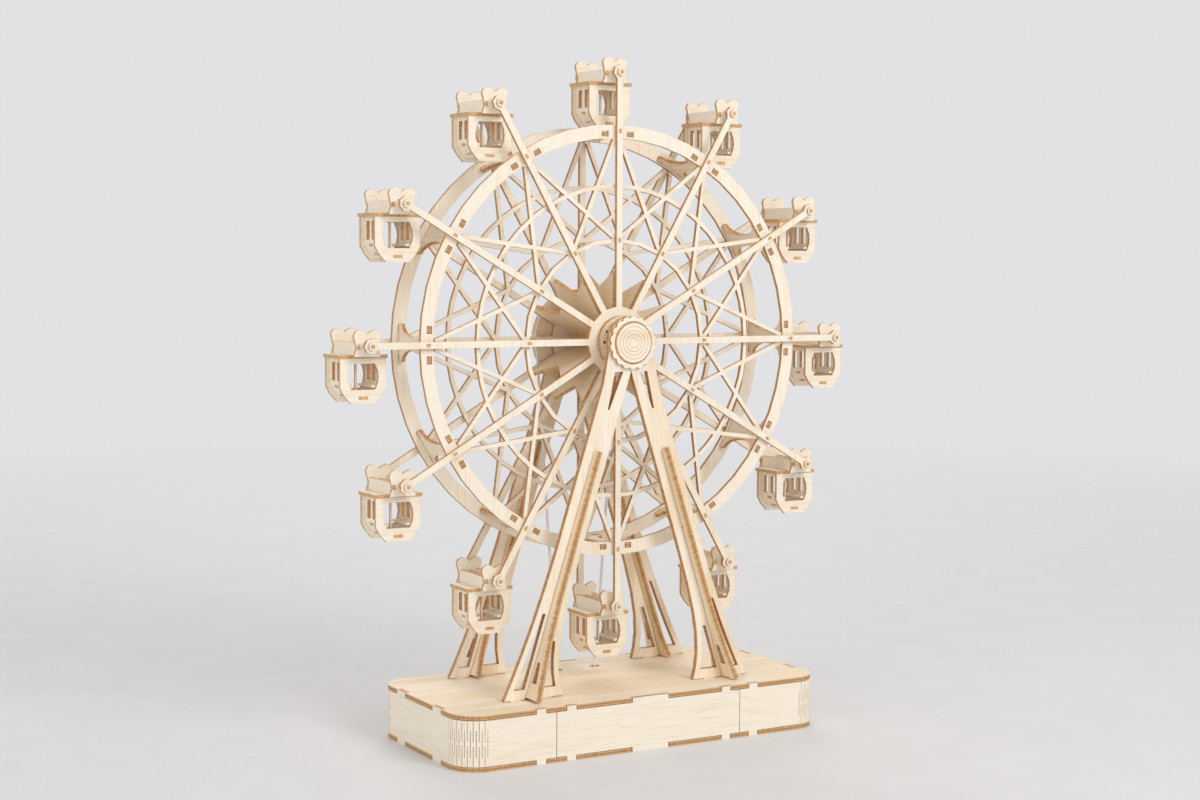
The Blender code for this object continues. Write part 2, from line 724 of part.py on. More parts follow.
def rim_slots():
    """Mortises of the strut tabs round a rim."""
    slots = []
    half_r = SHEET / 2 + GAP
    half_t = STRUT_TAB / 2 + GAP
    for angle in CLOCK:
        for side in (-1, 1):
            middle = side * STRUT_TAB_OFFSET
            slots.append([polar(STRUT_RADIUS - half_r, angle, middle - half_t),
                          polar(STRUT_RADIUS + half_r, angle, middle - half_t),
                          polar(STRUT_RADIUS + half_r, angle, middle + half_t),
                          polar(STRUT_RADIUS - half_r, angle, middle + half_t)])
    return slots


def make_rim(name, y, parent):
    holes = [circle(RIM_INNER, RIM_STEPS)] + rim_slots()
    rim = sheet(name, circle(RIM_OUTER, RIM_STEPS), holes)
    place(rim, (0, y, 0), UPRIGHT, parent)
    dress(rim, PLYWOOD)


def lattice_mesh():
    """Two thin rings and, from every rim node, a bar to each neighbouring spoke's inner node."""
    middle = as_mesh(sheet("middle_ring", circle(MIDDLE_RING + THIN_BAR / 2, RING_STEPS),
                           [circle(MIDDLE_RING - THIN_BAR / 2, RING_STEPS)]))
    inner = as_mesh(sheet("inner_ring", circle(INNER_RING + THIN_BAR / 2, RING_STEPS // 2),
                          [circle(INNER_RING - THIN_BAR / 2, RING_STEPS // 2)]))
    bars = bmesh.new()
    for k, angle in enumerate(CLOCK):
        node = Vector(polar(NODE_RADIUS, angle))
        for step in (-1, 1):
            target = Vector(polar(INNER_RING, CLOCK[(k + step) % SPOKES]))
            along = (target - node).normalized()
            share = (NODE_RADIUS - (RIM_INNER - GAP)) + THIN_BAR / 2
            add_bar(bars, node + along * share, target, THIN_BAR, SHEET)
    crossing = mesh_object("lattice_bars", bars)
    join(middle, crossing).use_self = True
    join(middle, inner)
    return middle


def make_lattices(parent):
    shared = baked(lattice_mesh())
    for name, y in (("front_lattice", -SIDE_Y), ("rear_lattice", SIDE_Y)):
        lattice = data_object(name, shared.copy())
        place(lattice, (0, y, 0), UPRIGHT, parent)
        dress(lattice, PLYWOOD)


def star_outline():
    """Hub disc and twelve spokes that end in round eyes."""
    half = SPOKE_WIDTH / 2
    root = math.sqrt(STAR_HUB_RADIUS ** 2 - half ** 2)
    opening = math.degrees(math.asin(half / EYE_RADIUS))
    points = []
    for angle in CLOCK:
        points.append(polar(root, angle, -half))
        eye = arc((0, 0), EYE_RADIUS, -90 - opening, -450 + opening, 6)
        for across, along in eye:
            points.append(polar(PIVOT_RADIUS + along, angle, across))
        points.append(polar(root, angle, half))
    return points


def make_star(name, y, parent):
    holes = [circle(AXLE_RADIUS + GAP, 16)]
    for angle in CLOCK:
        holes.append(circle(PIN_RADIUS + 1.5 * GAP, 6, polar(PIVOT_RADIUS, angle)))
    star = sheet(name, star_outline(), holes)
    place(star, (0, y, 0), UPRIGHT, parent)
    dress(star, PLYWOOD)


def make_struts(parent):
    """Tangential plates between the rims, waisted, with two tabs at each end."""
    half = STRUT_WIDTH / 2
    waist = (STRUT_WIDTH - STRUT_WAIST) / 2
    shoulder = INNER_WIDTH / 2
    reach = shoulder - STRUT_SHOE
    end = SIDE_INNER + SHEET
    outline = []
    for sign in (1, -1):
        edge = [(half, shoulder), (STRUT_TAB_OFFSET + STRUT_TAB / 2, shoulder)]
        for side in (1, -1):
            middle = side * STRUT_TAB_OFFSET
            edge += [(middle + STRUT_TAB / 2, shoulder), (middle + STRUT_TAB / 2, end),
                     (middle - STRUT_TAB / 2, end), (middle - STRUT_TAB / 2, shoulder)]
        edge.append((-half, shoulder))
        edge = [edge[0], *edge[2:]]
        for i in range(STRUT_STEPS + 1):
            turn = math.pi * i / STRUT_STEPS
            edge.append((waist * math.sin(turn) - half, reach * math.cos(turn)))
        outline += [(sign * x, sign * y) for x, y in edge]
    for k, angle in enumerate(CLOCK):
        strut = sheet("rim_strut_%02d" % (k + 1), outline)
        x, z = polar(STRUT_RADIUS, angle)
        place(strut, (x, 0, z), (0, angle, 0), parent)
        dress(strut, PLYWOOD)


def make_hub_fins(parent):
    """Twelve radial fins on a core, waisted by a V all round at the middle plane."""
    half = SHEET / 2
    root = math.sqrt(FIN_CORE ** 2 - half ** 2)
    outline = []
    for angle in CLOCK:
        outline += [polar(root, angle, -half), polar(FIN_REACH, angle, -half),
                    polar(FIN_REACH, angle, half), polar(root, angle, half)]
    fins = as_mesh(sheet("hub_fins", outline, [circle(AXLE_RADIUS + GAP, 16)], INNER_WIDTH))
    edge = 0.6 * INNER_WIDTH
    slope = (FIN_REACH - FIN_WAIST) / (INNER_WIDTH / 2)
    profile = [(FIN_WAIST, 0), (FIN_WAIST + slope * edge, edge), (1.1 * FIN_REACH, edge),
               (1.1 * FIN_REACH, -edge), (FIN_WAIST + slope * edge, -edge)]
    cut(fins, turned("hub_waist", profile, 36, closed=True))
    place(fins, rotation=UPRIGHT, parent=parent)
    fins.modifiers[0].object.rotation_euler = UPRIGHT
    fins.modifiers[0].object.parent = parent
    dress(fins, TANNED_PLYWOOD)


def make_hub(parent):
    holes = [circle(AXLE_RADIUS + GAP, 16)]
    for angle in CLOCK:
        holes.append(circle(PEG_HOLE, 5, polar(PEG_CIRCLE, angle)))
    disc = sheet("front_hub_disc", circle(PEG_DISC_RADIUS, 30), holes, PEG_DISC_THICKNESS)
    place(disc, (0, -OUTSIDE_Y - PEG_DISC_THICKNESS / 2, 0), UPRIGHT, parent)
    dress(disc, TANNED_PLYWOOD)

    flange = WHEEL_BELT_RADIUS + PULLEY_FLANGE
    floor = WHEEL_BELT_RADIUS - BELT_RADIUS - GAP
    half = PULLEY_THICKNESS / 2
    profile = [(AXLE_RADIUS + GAP, half), (flange, half), (flange, GROOVE_HALF_WIDTH),
               (floor, 0.5 * GROOVE_HALF_WIDTH), (floor, -0.5 * GROOVE_HALF_WIDTH),
               (flange, -GROOVE_HALF_WIDTH), (flange, -half), (AXLE_RADIUS + GAP, -half)]
    pulley = turned("wheel_pulley", profile, 36, closed=True)
    place(pulley, (0, PULLEY_Y, 0), UPRIGHT, parent)
    dress(pulley, PLYWOOD)

    half = CAP_THICKNESS / 2
    cap_y = FRAME_FACE_Y + GAP + half
    axle = rod("wheel_axle", AXLE_RADIUS, 2 * cap_y, 20)
    place(axle, (0, 0, 0), UPRIGHT, parent)
    dress(axle, STEEL, 0.35, 1.0)

    profile = [(0, half), (CAP_RADIUS - CAP_CHAMFER, half), (CAP_RADIUS, half - CAP_CHAMFER),
               (CAP_RADIUS, -half), (AXLE_RADIUS + GAP, -half), (AXLE_RADIUS + GAP, GAP), (0, GAP)]
    for name, facing in (("front_hub_cap", -1), ("rear_hub_cap", 1)):
        cap = turned(name, profile, 28)
        place(cap, (0, facing * cap_y, 0), (-facing * math.pi / 2, 0, 0), parent)
        dress(cap, PLYWOOD)


def make_cap_rings():
    """Scalloped rings on the outside of the frames, round the hub caps."""
    outline = []
    count = RING_SCALLOPS * 3
    for i in range(count):
        angle = 2 * math.pi * i / count
        radius = RING_RADIUS - (SCALLOP_DEPTH if i % 3 == 0 else 0)
        outline.append((radius * math.cos(angle), radius * math.sin(angle)))
    for name, facing in (("front_cap_ring", -1), ("rear_cap_ring", 1)):
        ring = sheet(name, outline, [circle(CAP_RADIUS + GAP, 28)], RING_THICKNESS)
        y = WHEEL_Y + facing * (FRAME_FACE_Y + GAP + RING_THICKNESS / 2)
        place(ring, (0, y, HUB_HEIGHT), UPRIGHT)
        dress(ring, PLYWOOD)


# Gondolas

def car_outline(margin=0.0, top=CAR_TOP):
    """Front view of the car about the pivot; margin draws in its sides and bottom."""
    half = CAR_WIDTH / 2 - margin
    low = CAR_BOTTOM + margin
    chamfer = CAR_CHAMFER - 0.4 * margin
    corner = chamfer * 0.35
    right = [(half - chamfer, low), (half - corner, low + chamfer - corner * 0.8),
             (half, low + chamfer + corner), (half, top)]
    return right + mirrored(right)


def window_outline():
    """Opening with outward-bowed sides in the front and rear walls."""
    middle = (CAR_TOP + CAR_BOTTOM) / 2 + WINDOW_LIFT
    half = WINDOW_HEIGHT / 2
    right = []
    for share in (-1.0, -0.5, 0.0, 0.5, 1.0):
        right.append((WINDOW_HALF_WIDTH - WINDOW_BULGE * share ** 2, middle + half * share))
    return right + mirrored(right)


def crown_outline():
    """Scalloped end plate of the roof with two round bumps."""
    low = CAR_TOP + 2 * ROOF_SINK
    centre = (CROWN_BUMP_X, CROWN_TOP - CROWN_BUMP)
    right = [(CROWN_HALF_WIDTH, low), (CROWN_WAIST, low + 0.4 * (centre[1] - low))]
    right += arc(centre, CROWN_BUMP, -36, 132, 4)
    right.append((0, centre[1] + 0.35 * CROWN_BUMP))
    left = mirrored(right)
    return right + left[1:]


def car_tub():
    """Side walls with their windows, floor and benches."""
    tub = standing("tub", car_outline(TUB_INSET), CAR_DEPTH - CAR_WALL)
    hollow = standing("hollow", car_outline(TUB_INSET + CAR_WALL, CAR_TOP + CAR_WALL), 2 * CAR_DEPTH)
    middle = (CAR_TOP + CAR_BOTTOM) / 2 + SIDE_WINDOW_LIFT
    low_z = middle - SIDE_WINDOW_HEIGHT / 2
    high_z = middle + SIDE_WINDOW_HEIGHT / 2
    near = MULLION / 2
    far = near + SIDE_WINDOW_WIDTH
    side_windows = boxes("side_windows", [((-CAR_WIDTH, near, low_z), (CAR_WIDTH, far, high_z)),
                                          ((-CAR_WIDTH, -far, low_z), (CAR_WIDTH, -near, high_z))])
    for tool in (hollow, side_windows):
        cut(tub, tool)
    outer = CAR_WIDTH / 2 - TUB_INSET - CAR_WALL / 2
    inner = CAR_WIDTH / 2 - TUB_INSET - CAR_WALL - BENCH
    end = CAR_DEPTH / 2 - 0.7 * CAR_WALL
    low_z = BENCH_TOP - BENCH_THICKNESS
    for low_x, high_x in ((-outer, -inner), (inner, outer)):
        join(tub, boxes("bench", [((low_x, -end, low_z), (high_x, end, BENCH_TOP))]))
    return tub


def gondola_mesh():
    """One gondola about its pivot: car, roof, crown plates, rails and pivot pin."""
    car = car_tub()
    for side in (-1, 1):
        y = side * (CAR_DEPTH - CAR_WALL) / 2
        join(car, standing("end_wall", car_outline(), CAR_WALL, [window_outline()], y))
    roof_low = CAR_TOP - ROOF_SINK
    roof = boxes("roof", [((-ROOF_WIDTH / 2, -ROOF_DEPTH / 2, roof_low),
                           (ROOF_WIDTH / 2, ROOF_DEPTH / 2, roof_low + ROOF_THICKNESS))])
    join(car, roof)
    rail_low = CAR_TOP + 2.5 * ROOF_SINK
    for side in (-1, 1):
        low_x = side * RAIL_X - CROWN_SHEET / 2
        high_x = side * RAIL_X + CROWN_SHEET / 2
        join(car, boxes("rail", [((low_x, -CROWN_Y, rail_low), (high_x, CROWN_Y, RAIL_TOP))]))
    for side in (-1, 1):
        join(car, standing("crown", crown_outline(), CROWN_SHEET, y=side * CROWN_Y))
    head_middle = OUTSIDE_Y + PIN_HEAD / 2
    pin = rod("pin", PIN_RADIUS, 2 * head_middle, 6)
    join(car, place(pin, rotation=UPRIGHT))
    for side in (-1, 1):
        head = rod("head", PIN_HEAD_RADIUS, PIN_HEAD, 8)
        join(car, place(head, (0, side * head_middle, 0), UPRIGHT))
    return baked(car)


def make_gondolas(parent):
    shared = gondola_mesh()
    for k, angle in enumerate(CLOCK):
        x, z = polar(PIVOT_RADIUS, angle)
        pivot = empty("gondola_pivot_%02d" % (k + 1), (x, 0, z), parent)
        gondola = data_object("gondola_%02d" % (k + 1), shared.copy())
        place(gondola, parent=pivot)
        dress(gondola, PLYWOOD)


# Musical movement

BED_LOW = SHEET + GAP
TOOTH_TIP = 0.75            # tooth outside the pitch circle, in modules
TOOTH_ROOT = 1.15
GEAR_ROOM = SHAFT_HEIGHT - BED_LOW - BEDPLATE - GEAR_CLEARANCE
GEAR_MODULE = GEAR_ROOM / (BARREL_TEETH / 2 + TOOTH_TIP)
PITCH_CYLINDER = GEAR_MODULE * CYLINDER_TEETH / 2
PITCH_BARREL = GEAR_MODULE * BARREL_TEETH / 2
PITCH_GOVERNOR = GEAR_MODULE * GOVERNOR_TEETH / 2
BARREL_X = PITCH_CYLINDER + PITCH_BARREL
GOVERNOR_X = BARREL_X + PITCH_BARREL + PITCH_GOVERNOR
BARREL_RADIUS = BARREL_X - CYLINDER_RADIUS - DRUM_CLEARANCE
BRACKET_REAR_Y = WHEEL_Y + OUTSIDE_Y - PULLEY_SPACE - BRACKET / 2
GEAR_Y = BRACKET_REAR_Y - GEAR_SPACE
CYLINDER_REAR_Y = GEAR_Y - GEAR_WIDTH / 2 - 2 * GAP
CYLINDER_FRONT_Y = CYLINDER_REAR_Y - CYLINDER_LENGTH
BRACKET_FRONT_Y = CYLINDER_FRONT_Y - BRACKET_SPACE
COMB_TIP_X = -(CYLINDER_RADIUS + 2 * GAP)
COMB_LOW_X = COMB_TIP_X - COMB_REACH - COMB_HEEL


def gear_outline(teeth, first_tooth):
    """Straight-sided teeth with backlash; first_tooth is the angle of one tooth."""
    pitch_radius = GEAR_MODULE * teeth / 2
    tip = pitch_radius + TOOTH_TIP * GEAR_MODULE
    root = pitch_radius - TOOTH_ROOT * GEAR_MODULE
    pitch_angle = 2 * math.pi / teeth
    tip_half = 0.105 * pitch_angle * pitch_radius / tip
    root_half = 0.27 * pitch_angle
    points = []
    for i in range(teeth):
        middle = first_tooth + i * pitch_angle
        for radius, offset in ((root, -root_half), (tip, -tip_half), (tip, tip_half), (root, root_half)):
            points.append((radius * math.cos(middle + offset), radius * math.sin(middle + offset)))
    return points


def gear(name, teeth, first_tooth):
    """A gear as a mesh, standing upright about an axis along Y."""
    return standing(name, gear_outline(teeth, first_tooth), GEAR_WIDTH, y=GEAR_Y)


def y_rod(name, radius, low_y, high_y, steps=16):
    return place(rod(name, radius, high_y - low_y, steps), (0, (low_y + high_y) / 2, 0), UPRIGHT)


def add_moving(name, item, axis, colour, roughness, metallic):
    """Hangs a piece built about the world origin on the empty of its axis."""
    solid = place(data_object(name, baked(item)), parent=axis)
    return dress(solid, colour, roughness, metallic)


def upright_plate(name, holes, low_x, high_x, low_z, high_z, y):
    """Bracket of the bedplate with shaft holes, in the XZ plane."""
    return standing(name, rectangle(low_x, low_z, high_x, high_z), BRACKET, holes, y)


def make_bedplate():
    high_x = GOVERNOR_X + FAN_RADIUS
    rear = BRACKET_REAR_Y + BRACKET / 2 + GAP
    front = BRACKET_FRONT_Y - BRACKET / 2
    bed = boxes("movement_bedplate", [((COMB_LOW_X - BED_MARGIN / 2, front - BED_MARGIN, BED_LOW),
                                       (high_x, rear, BED_LOW + BEDPLATE))])
    holes = [circle(SHAFT_RADIUS + GAP, 12, (0, SHAFT_HEIGHT)),
             circle(ARBOR_RADIUS + GAP, 12, (BARREL_X, SHAFT_HEIGHT)),
             circle(SHAFT_RADIUS + GAP, 12, (GOVERNOR_X, SHAFT_HEIGHT))]
    sunk = BED_LOW + 0.4 * BEDPLATE
    for y in (BRACKET_FRONT_Y, BRACKET_REAR_Y):
        join(bed, upright_plate("bracket", holes, -BRACKET_SIDE, high_x - GAP, sunk,
                                SHAFT_HEIGHT + BRACKET_RISE, y))
    comb_low = SHAFT_HEIGHT - COMB_THICKNESS / 2 - GAP
    join(bed, boxes("comb_seat", [((COMB_LOW_X, CYLINDER_FRONT_Y, sunk),
                                   (COMB_LOW_X + COMB_SEAT, CYLINDER_REAR_Y, comb_low))]))
    dress(bed, ZINC, 0.45, 1.0)


def make_comb():
    """Steel comb: one plate with a tooth for each note."""
    root_x = COMB_TIP_X - COMB_REACH * 0.6
    pitch = (CYLINDER_REAR_Y - CYLINDER_FRONT_Y) / COMB_TEETH
    outline = [(COMB_LOW_X, CYLINDER_FRONT_Y)]
    for i in range(COMB_TEETH):
        low = CYLINDER_FRONT_Y + i * pitch
        outline += [(root_x, low), (COMB_TIP_X, low + 0.15 * pitch),
                    (COMB_TIP_X, low + 0.60 * pitch), (root_x, low + 0.70 * pitch)]
    outline += [(root_x, CYLINDER_REAR_Y), (COMB_LOW_X, CYLINDER_REAR_Y)]
    comb = sheet("movement_comb", outline, thickness=COMB_THICKNESS)
    place(comb, (0, 0, SHAFT_HEIGHT))
    dress(comb, STEEL, 0.3, 1.0)


def make_cylinder():
    axis = empty("cylinder_axis", (0, 0, SHAFT_HEIGHT))
    drum = y_rod("drum", CYLINDER_RADIUS, CYLINDER_FRONT_Y, CYLINDER_REAR_Y - GAP, 24)
    join(drum, y_rod("shaft", SHAFT_RADIUS, BRACKET_FRONT_Y - BRACKET,
                     WHEEL_Y + PULLEY_Y + PULLEY_THICKNESS / 2 + SHAFT_OVERHANG, 12))
    join(drum, gear("cylinder_gear", CYLINDER_TEETH, 0.0))
    collar = 0.5 * PITCH_CYLINDER
    join(drum, y_rod("collar", collar, CYLINDER_REAR_Y - SHAFT_OVERHANG, GEAR_Y, 12))
    add_moving("movement_cylinder", drum, axis, BRASS, 0.35, 1.0)

    flange = DRIVE_BELT_RADIUS + DRIVE_FLANGE
    floor = DRIVE_BELT_RADIUS - BELT_RADIUS - GAP
    half = PULLEY_THICKNESS / 2
    profile = [(SHAFT_RADIUS + GAP, half), (flange, half), (flange, GROOVE_HALF_WIDTH),
               (floor, 0.5 * GROOVE_HALF_WIDTH), (floor, -0.5 * GROOVE_HALF_WIDTH),
               (flange, -GROOVE_HALF_WIDTH), (flange, -half), (SHAFT_RADIUS + GAP, -half)]
    pulley = turned("drive_pulley", profile, 24, closed=True)
    place(pulley, (0, WHEEL_Y + PULLEY_Y, 0), UPRIGHT, axis)
    dress(pulley, PLYWOOD)


def make_barrel():
    """Spring barrel, open at the front, with its gear; the mainspring lies inside."""
    axis = empty("barrel_axis", (BARREL_X, 0, SHAFT_HEIGHT))
    bore = ARBOR_RADIUS + GAP
    inner = BARREL_RADIUS - BARREL_WALL
    front = CYLINDER_FRONT_Y
    rear = CYLINDER_REAR_Y
    floor = rear - BARREL_FLOOR
    profile = [(inner, -front), (BARREL_RADIUS, -front), (BARREL_RADIUS, -rear), (0.5 * PITCH_BARREL, -rear),
               (0.5 * PITCH_BARREL, -GEAR_Y), (bore, -GEAR_Y), (bore, -floor), (inner, -floor)]
    drum = turned("barrel_drum", profile, 28, closed=True)
    drum = as_mesh(place(drum, rotation=UPRIGHT))
    wheel = gear("barrel_gear", BARREL_TEETH, math.pi / BARREL_TEETH)
    cut(wheel, place(rod("barrel_bore", 0.35 * PITCH_BARREL, 4 * GEAR_WIDTH, 16), (0, GEAR_Y, 0), UPRIGHT))
    join(drum, as_mesh(wheel))
    add_moving("spring_barrel", drum, axis, BRASS, 0.35, 1.0)

    half = SPRING_THICKNESS / 2
    low_r = ARBOR_RADIUS + SPRING_CLEARANCE
    high_r = inner - SPRING_CLEARANCE
    steps = int(SPRING_TURNS * 16)
    middle = []
    for i in range(steps + 1):
        angle = 2 * math.pi * SPRING_TURNS * i / steps
        radius = low_r + (high_r - low_r) * i / steps
        middle.append((radius, angle))
    outside = [((r + half) * math.cos(a), (r + half) * math.sin(a)) for r, a in middle]
    inside = [((r - half) * math.cos(a), (r - half) * math.sin(a)) for r, a in reversed(middle)]
    spring = sheet("mainspring", outside + inside, thickness=floor - front - 2 * BARREL_FLOOR)
    place(spring, (0, (floor + front) / 2, 0), UPRIGHT, axis)
    dress(spring, STEEL, 0.4, 1.0)


def make_winding_key():
    """Arbor of the spring barrel with a lobed wooden knob behind the rear panel."""
    axis = empty("key_axis", (BARREL_X, 0, SHAFT_HEIGHT))
    arbor_front = BRACKET_FRONT_Y - BRACKET
    arbor = y_rod("arbor", ARBOR_RADIUS, arbor_front, BASE_REAR_Y + KEY_THICKNESS - KEY_BORE_FLOOR, 16)
    add_moving("winding_arbor", arbor, axis, STEEL, 0.35, 1.0)
    outline = []
    count = KEY_LOBES * 4
    for i in range(count):
        angle = 2 * math.pi * i / count
        radius = KEY_RADIUS - KEY_WAVE * (1 - math.cos(KEY_LOBES * angle))
        outline.append((radius * math.cos(angle), radius * math.sin(angle)))
    knob = sheet("winding_knob", outline, thickness=KEY_THICKNESS)
    knob_y = BASE_REAR_Y + GAP + KEY_THICKNESS / 2
    knob = as_mesh(place(knob, (0, knob_y, 0), UPRIGHT))
    blind = rod("knob_bore", ARBOR_RADIUS + GAP, 2 * KEY_THICKNESS, 16)
    cut(knob, place(blind, (0, BASE_REAR_Y - KEY_BORE_FLOOR + GAP, 0), UPRIGHT))
    add_moving("winding_knob", knob, axis, PLYWOOD, 0.6, 0.0)


def make_governor():
    """Pinion with a two-bladed fan that steadies the speed."""
    axis = empty("governor_axis", (GOVERNOR_X, 0, SHAFT_HEIGHT))
    shaft = y_rod("governor_shaft", SHAFT_RADIUS, BRACKET_FRONT_Y - BRACKET, BRACKET_REAR_Y + BRACKET, 12)
    join(shaft, gear("governor_pinion", GOVERNOR_TEETH, 0.0))
    half = FAN_THICKNESS / 2
    fan_rear = CYLINDER_FRONT_Y + FAN_LENGTH
    join(shaft, boxes("fan", [((-half, CYLINDER_FRONT_Y, -FAN_RADIUS), (half, fan_rear, FAN_RADIUS))]))
    add_moving("movement_governor", shaft, axis, BRASS, 0.4, 1.0)


def make_belt():
    """Closed elastic loop round the wheel pulley and the drive pulley."""
    upper = (0.0, HUB_HEIGHT)
    lower = (0.0, SHAFT_HEIGHT)
    lean = math.degrees(math.asin((WHEEL_BELT_RADIUS - DRIVE_BELT_RADIUS) / (HUB_HEIGHT - SHAFT_HEIGHT)))
    points = arc(upper, WHEEL_BELT_RADIUS, -lean, 180 + lean, 16)
    points += arc(lower, DRIVE_BELT_RADIUS, 180 + lean, 360 - lean, 10)
    data = bpy.data.curves.new("drive_belt", "CURVE")
    data.dimensions = "3D"
    data.bevel_depth = BELT_RADIUS
    data.bevel_resolution = 2
    spline = data.splines.new("POLY")
    spline.points.add(len(points) - 1)
    for point, (x, z) in zip(spline.points, points):
        point.co = (x, 0, z, 1)
    spline.use_cyclic_u = True
    belt = bpy.data.objects.new("drive_belt", data)
    PARTS.objects.link(belt)
    place(belt, (0, WHEEL_Y + PULLEY_Y, 0))
    dress(belt, CLEAR_ELASTIC, 0.3)


# Assembly

def build():
    make_base_plates()
    make_panels()
    make_wrap_walls()
    make_frames()
    make_cap_rings()

    wheel_axis = empty("wheel_axis", (0, WHEEL_Y, HUB_HEIGHT))
    for end, facing in (("front", -1), ("rear", 1)):
        make_rim(end + "_rim", facing * SIDE_Y, wheel_axis)
        make_star(end + "_spokes", facing * STAR_Y, wheel_axis)
    make_lattices(wheel_axis)
    make_struts(wheel_axis)
    make_hub_fins(wheel_axis)
    make_hub(wheel_axis)
    make_gondolas(wheel_axis)

    make_bedplate()
    make_comb()
    make_cylinder()
    make_barrel()
    make_winding_key()
    make_governor()
    make_belt()


build()
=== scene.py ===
import json
import math

import bmesh
import bpy
from mathutils import Matrix, Vector


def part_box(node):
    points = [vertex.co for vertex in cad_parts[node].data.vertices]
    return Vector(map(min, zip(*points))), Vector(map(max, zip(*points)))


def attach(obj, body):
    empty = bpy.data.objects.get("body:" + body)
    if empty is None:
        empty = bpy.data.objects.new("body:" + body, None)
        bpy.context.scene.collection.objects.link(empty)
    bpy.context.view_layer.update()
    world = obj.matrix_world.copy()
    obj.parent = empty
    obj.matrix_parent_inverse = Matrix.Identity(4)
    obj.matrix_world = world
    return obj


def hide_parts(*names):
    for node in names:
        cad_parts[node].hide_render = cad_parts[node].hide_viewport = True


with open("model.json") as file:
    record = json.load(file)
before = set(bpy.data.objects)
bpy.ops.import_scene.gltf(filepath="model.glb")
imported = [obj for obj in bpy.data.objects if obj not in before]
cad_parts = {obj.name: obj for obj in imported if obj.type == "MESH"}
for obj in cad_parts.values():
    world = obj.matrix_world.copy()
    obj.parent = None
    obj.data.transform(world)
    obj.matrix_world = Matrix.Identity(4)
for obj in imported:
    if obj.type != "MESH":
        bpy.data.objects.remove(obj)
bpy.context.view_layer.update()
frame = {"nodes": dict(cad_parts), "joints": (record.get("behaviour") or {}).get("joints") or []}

# The looks of the wooden musical ferris wheel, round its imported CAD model.
# Lengths are in metres. +Z is up and the front of the toy looks along -Y.

MM = 0.001
JOINTS = {joint["name"]: Vector(joint["pos_m"]) for joint in frame["joints"]}
WHEEL = JOINTS["wheel_spin"]
SPOKES = 12
CLOCK = [2 * math.pi * k / SPOKES for k in range(SPOKES)]


def srgb(red, green, blue):
    """A picture colour (0 to 255) as the linear colour that the shaders use."""
    linear = []
    for value in (red, green, blue):
        value /= 255
        linear.append(value / 12.92 if value <= 0.04045 else ((value + 0.055) / 1.055) ** 2.4)
    return (*linear, 1.0)


# Plywood, from its pale faces to its burnt edges
PALE = srgb(246, 237, 221)
WARM = srgb(240, 221, 192)
STREAK = srgb(222, 191, 148)
EDGE = srgb(222, 182, 130)
CORE = srgb(190, 142, 92)
BURNT = srgb(134, 84, 46)

# Sizes of the pieces made here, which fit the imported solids
SHEET = 2.0 * MM
BURN = 0.28 * MM            # width of the scorched line along a cut edge
EDGE_BREAK = 0.12           # chamfer of a block, as a share of its least side
PROUD = 0.15 * MM           # a tab's end stands out of its mortise by this
CORNER = 14.0 * MM          # radius of the base's corners
SLIT = 0.22 * MM            # laser slits that let an end wall bend
SLITS = 16                  # rows of them in each corner of the base
PAIRED_SLITS = ((0.1, 0.46), (0.54, 0.9))   # spans in even rows, as shares of the height
MIDDLE_SLIT = ((0.26, 0.74),)               # the span in odd rows
SPOKE_JOINTS = (101.3 * MM, 49.0 * MM)      # radii where a spoke crosses its rim and ring
SPOKE_TAB = (1.5 * MM, 2 * PROUD, 2.2 * MM)
BELT = 0.7 * MM             # radius of the belt's cord
BELT_SIDES = 12

# Turned pieces: radii, and heights above the face that they stand on
ON_AXIS = 0.0001 * MM       # stands for a radius of zero
CAP_RADIUS = 10.0 * MM
CAP_BORE = 2.8 * MM
CAP_SINK = 0.2              # depth of the bore in a cap's back, as a share of the cap's
CAP_CHAMFER = 0.6 * MM
CAP_GROOVES = (7.8 * MM, 6.0 * MM, 4.2 * MM, 2.4 * MM)
CAP_GROOVE_REACH = 0.22 * MM
CAP_GROOVE_DEPTH = 0.16 * MM
KNOB_RADIUS = 6.8 * MM
KNOB_BORE = 2.3 * MM
KNOB_RISE = 0.3 * MM
KNOB_GROOVES = (3.8 * MM, 5.6 * MM)
KNOB_GROOVE_REACH = 0.2 * MM
KNOB_GROOVE_DEPTH = 0.18 * MM
PEG_CIRCLE = 9.9 * MM       # circle of the small holes in the front hub disc
EYELET_RADIUS = 1.9 * MM
EYELET_BORE = 0.95 * MM
EYELET_CHAMFER = 0.2 * MM
EYELET_SIDE = 0.3 * MM
EYELET_TOP = 0.42 * MM

# Ends of pins: the radius, then the heights of the side, the shoulder and the top
ARBOR_END = (1.9 * MM, 0.1 * MM, 0.35 * MM, 0.45 * MM)
PIVOT_END = (1.1 * MM, 0.1 * MM, 0.2 * MM, 0.25 * MM)
PIN_SHOULDER = 0.3 * MM     # width of the shoulder of such an end

# A gondola about its pivot, in millimetres
WALL_INNER = 7.35
WALL_OUTER = 9.05
CROWN_INNER = 12.65
CROWN_OUTER = 14.3
ROOF_LOW = -5.85
ROOF_HIGH = -4.15
BENCH_TOP = -18.1
FLOOR_TOP = -23.2
RAIL_X = 4.6
PIN_END = 20.5
POLE_RADIUS = 0.6
POLE_SINK = 0.2             # the pole's ends go this far into the floor and the roof
SLANT = math.radians(48)    # lean of the tub's slanted sides from upright

# Tab ends that show in a gondola, in millimetres: place on the positive side, then size
FLOOR_TAB = (0.0, 9.0, -24.0), (4.6, 0.3, 1.5)      # the floor's, in an end wall
SLANT_TAB = (6.6, 0.0, -22.85), (0.3, 4.4, 1.5)     # the floor's, in a slanted side
BENCH_TAB = (9.5, 0.0, -18.8), (0.3, 3.2, 1.2)      # a bench's, in a side wall
RAIL_TAB_Z = -0.4
RAIL_TAB_SIZE = (1.6, 0.3, 2.4)                     # a rail's, in a crown plate


# Node trees

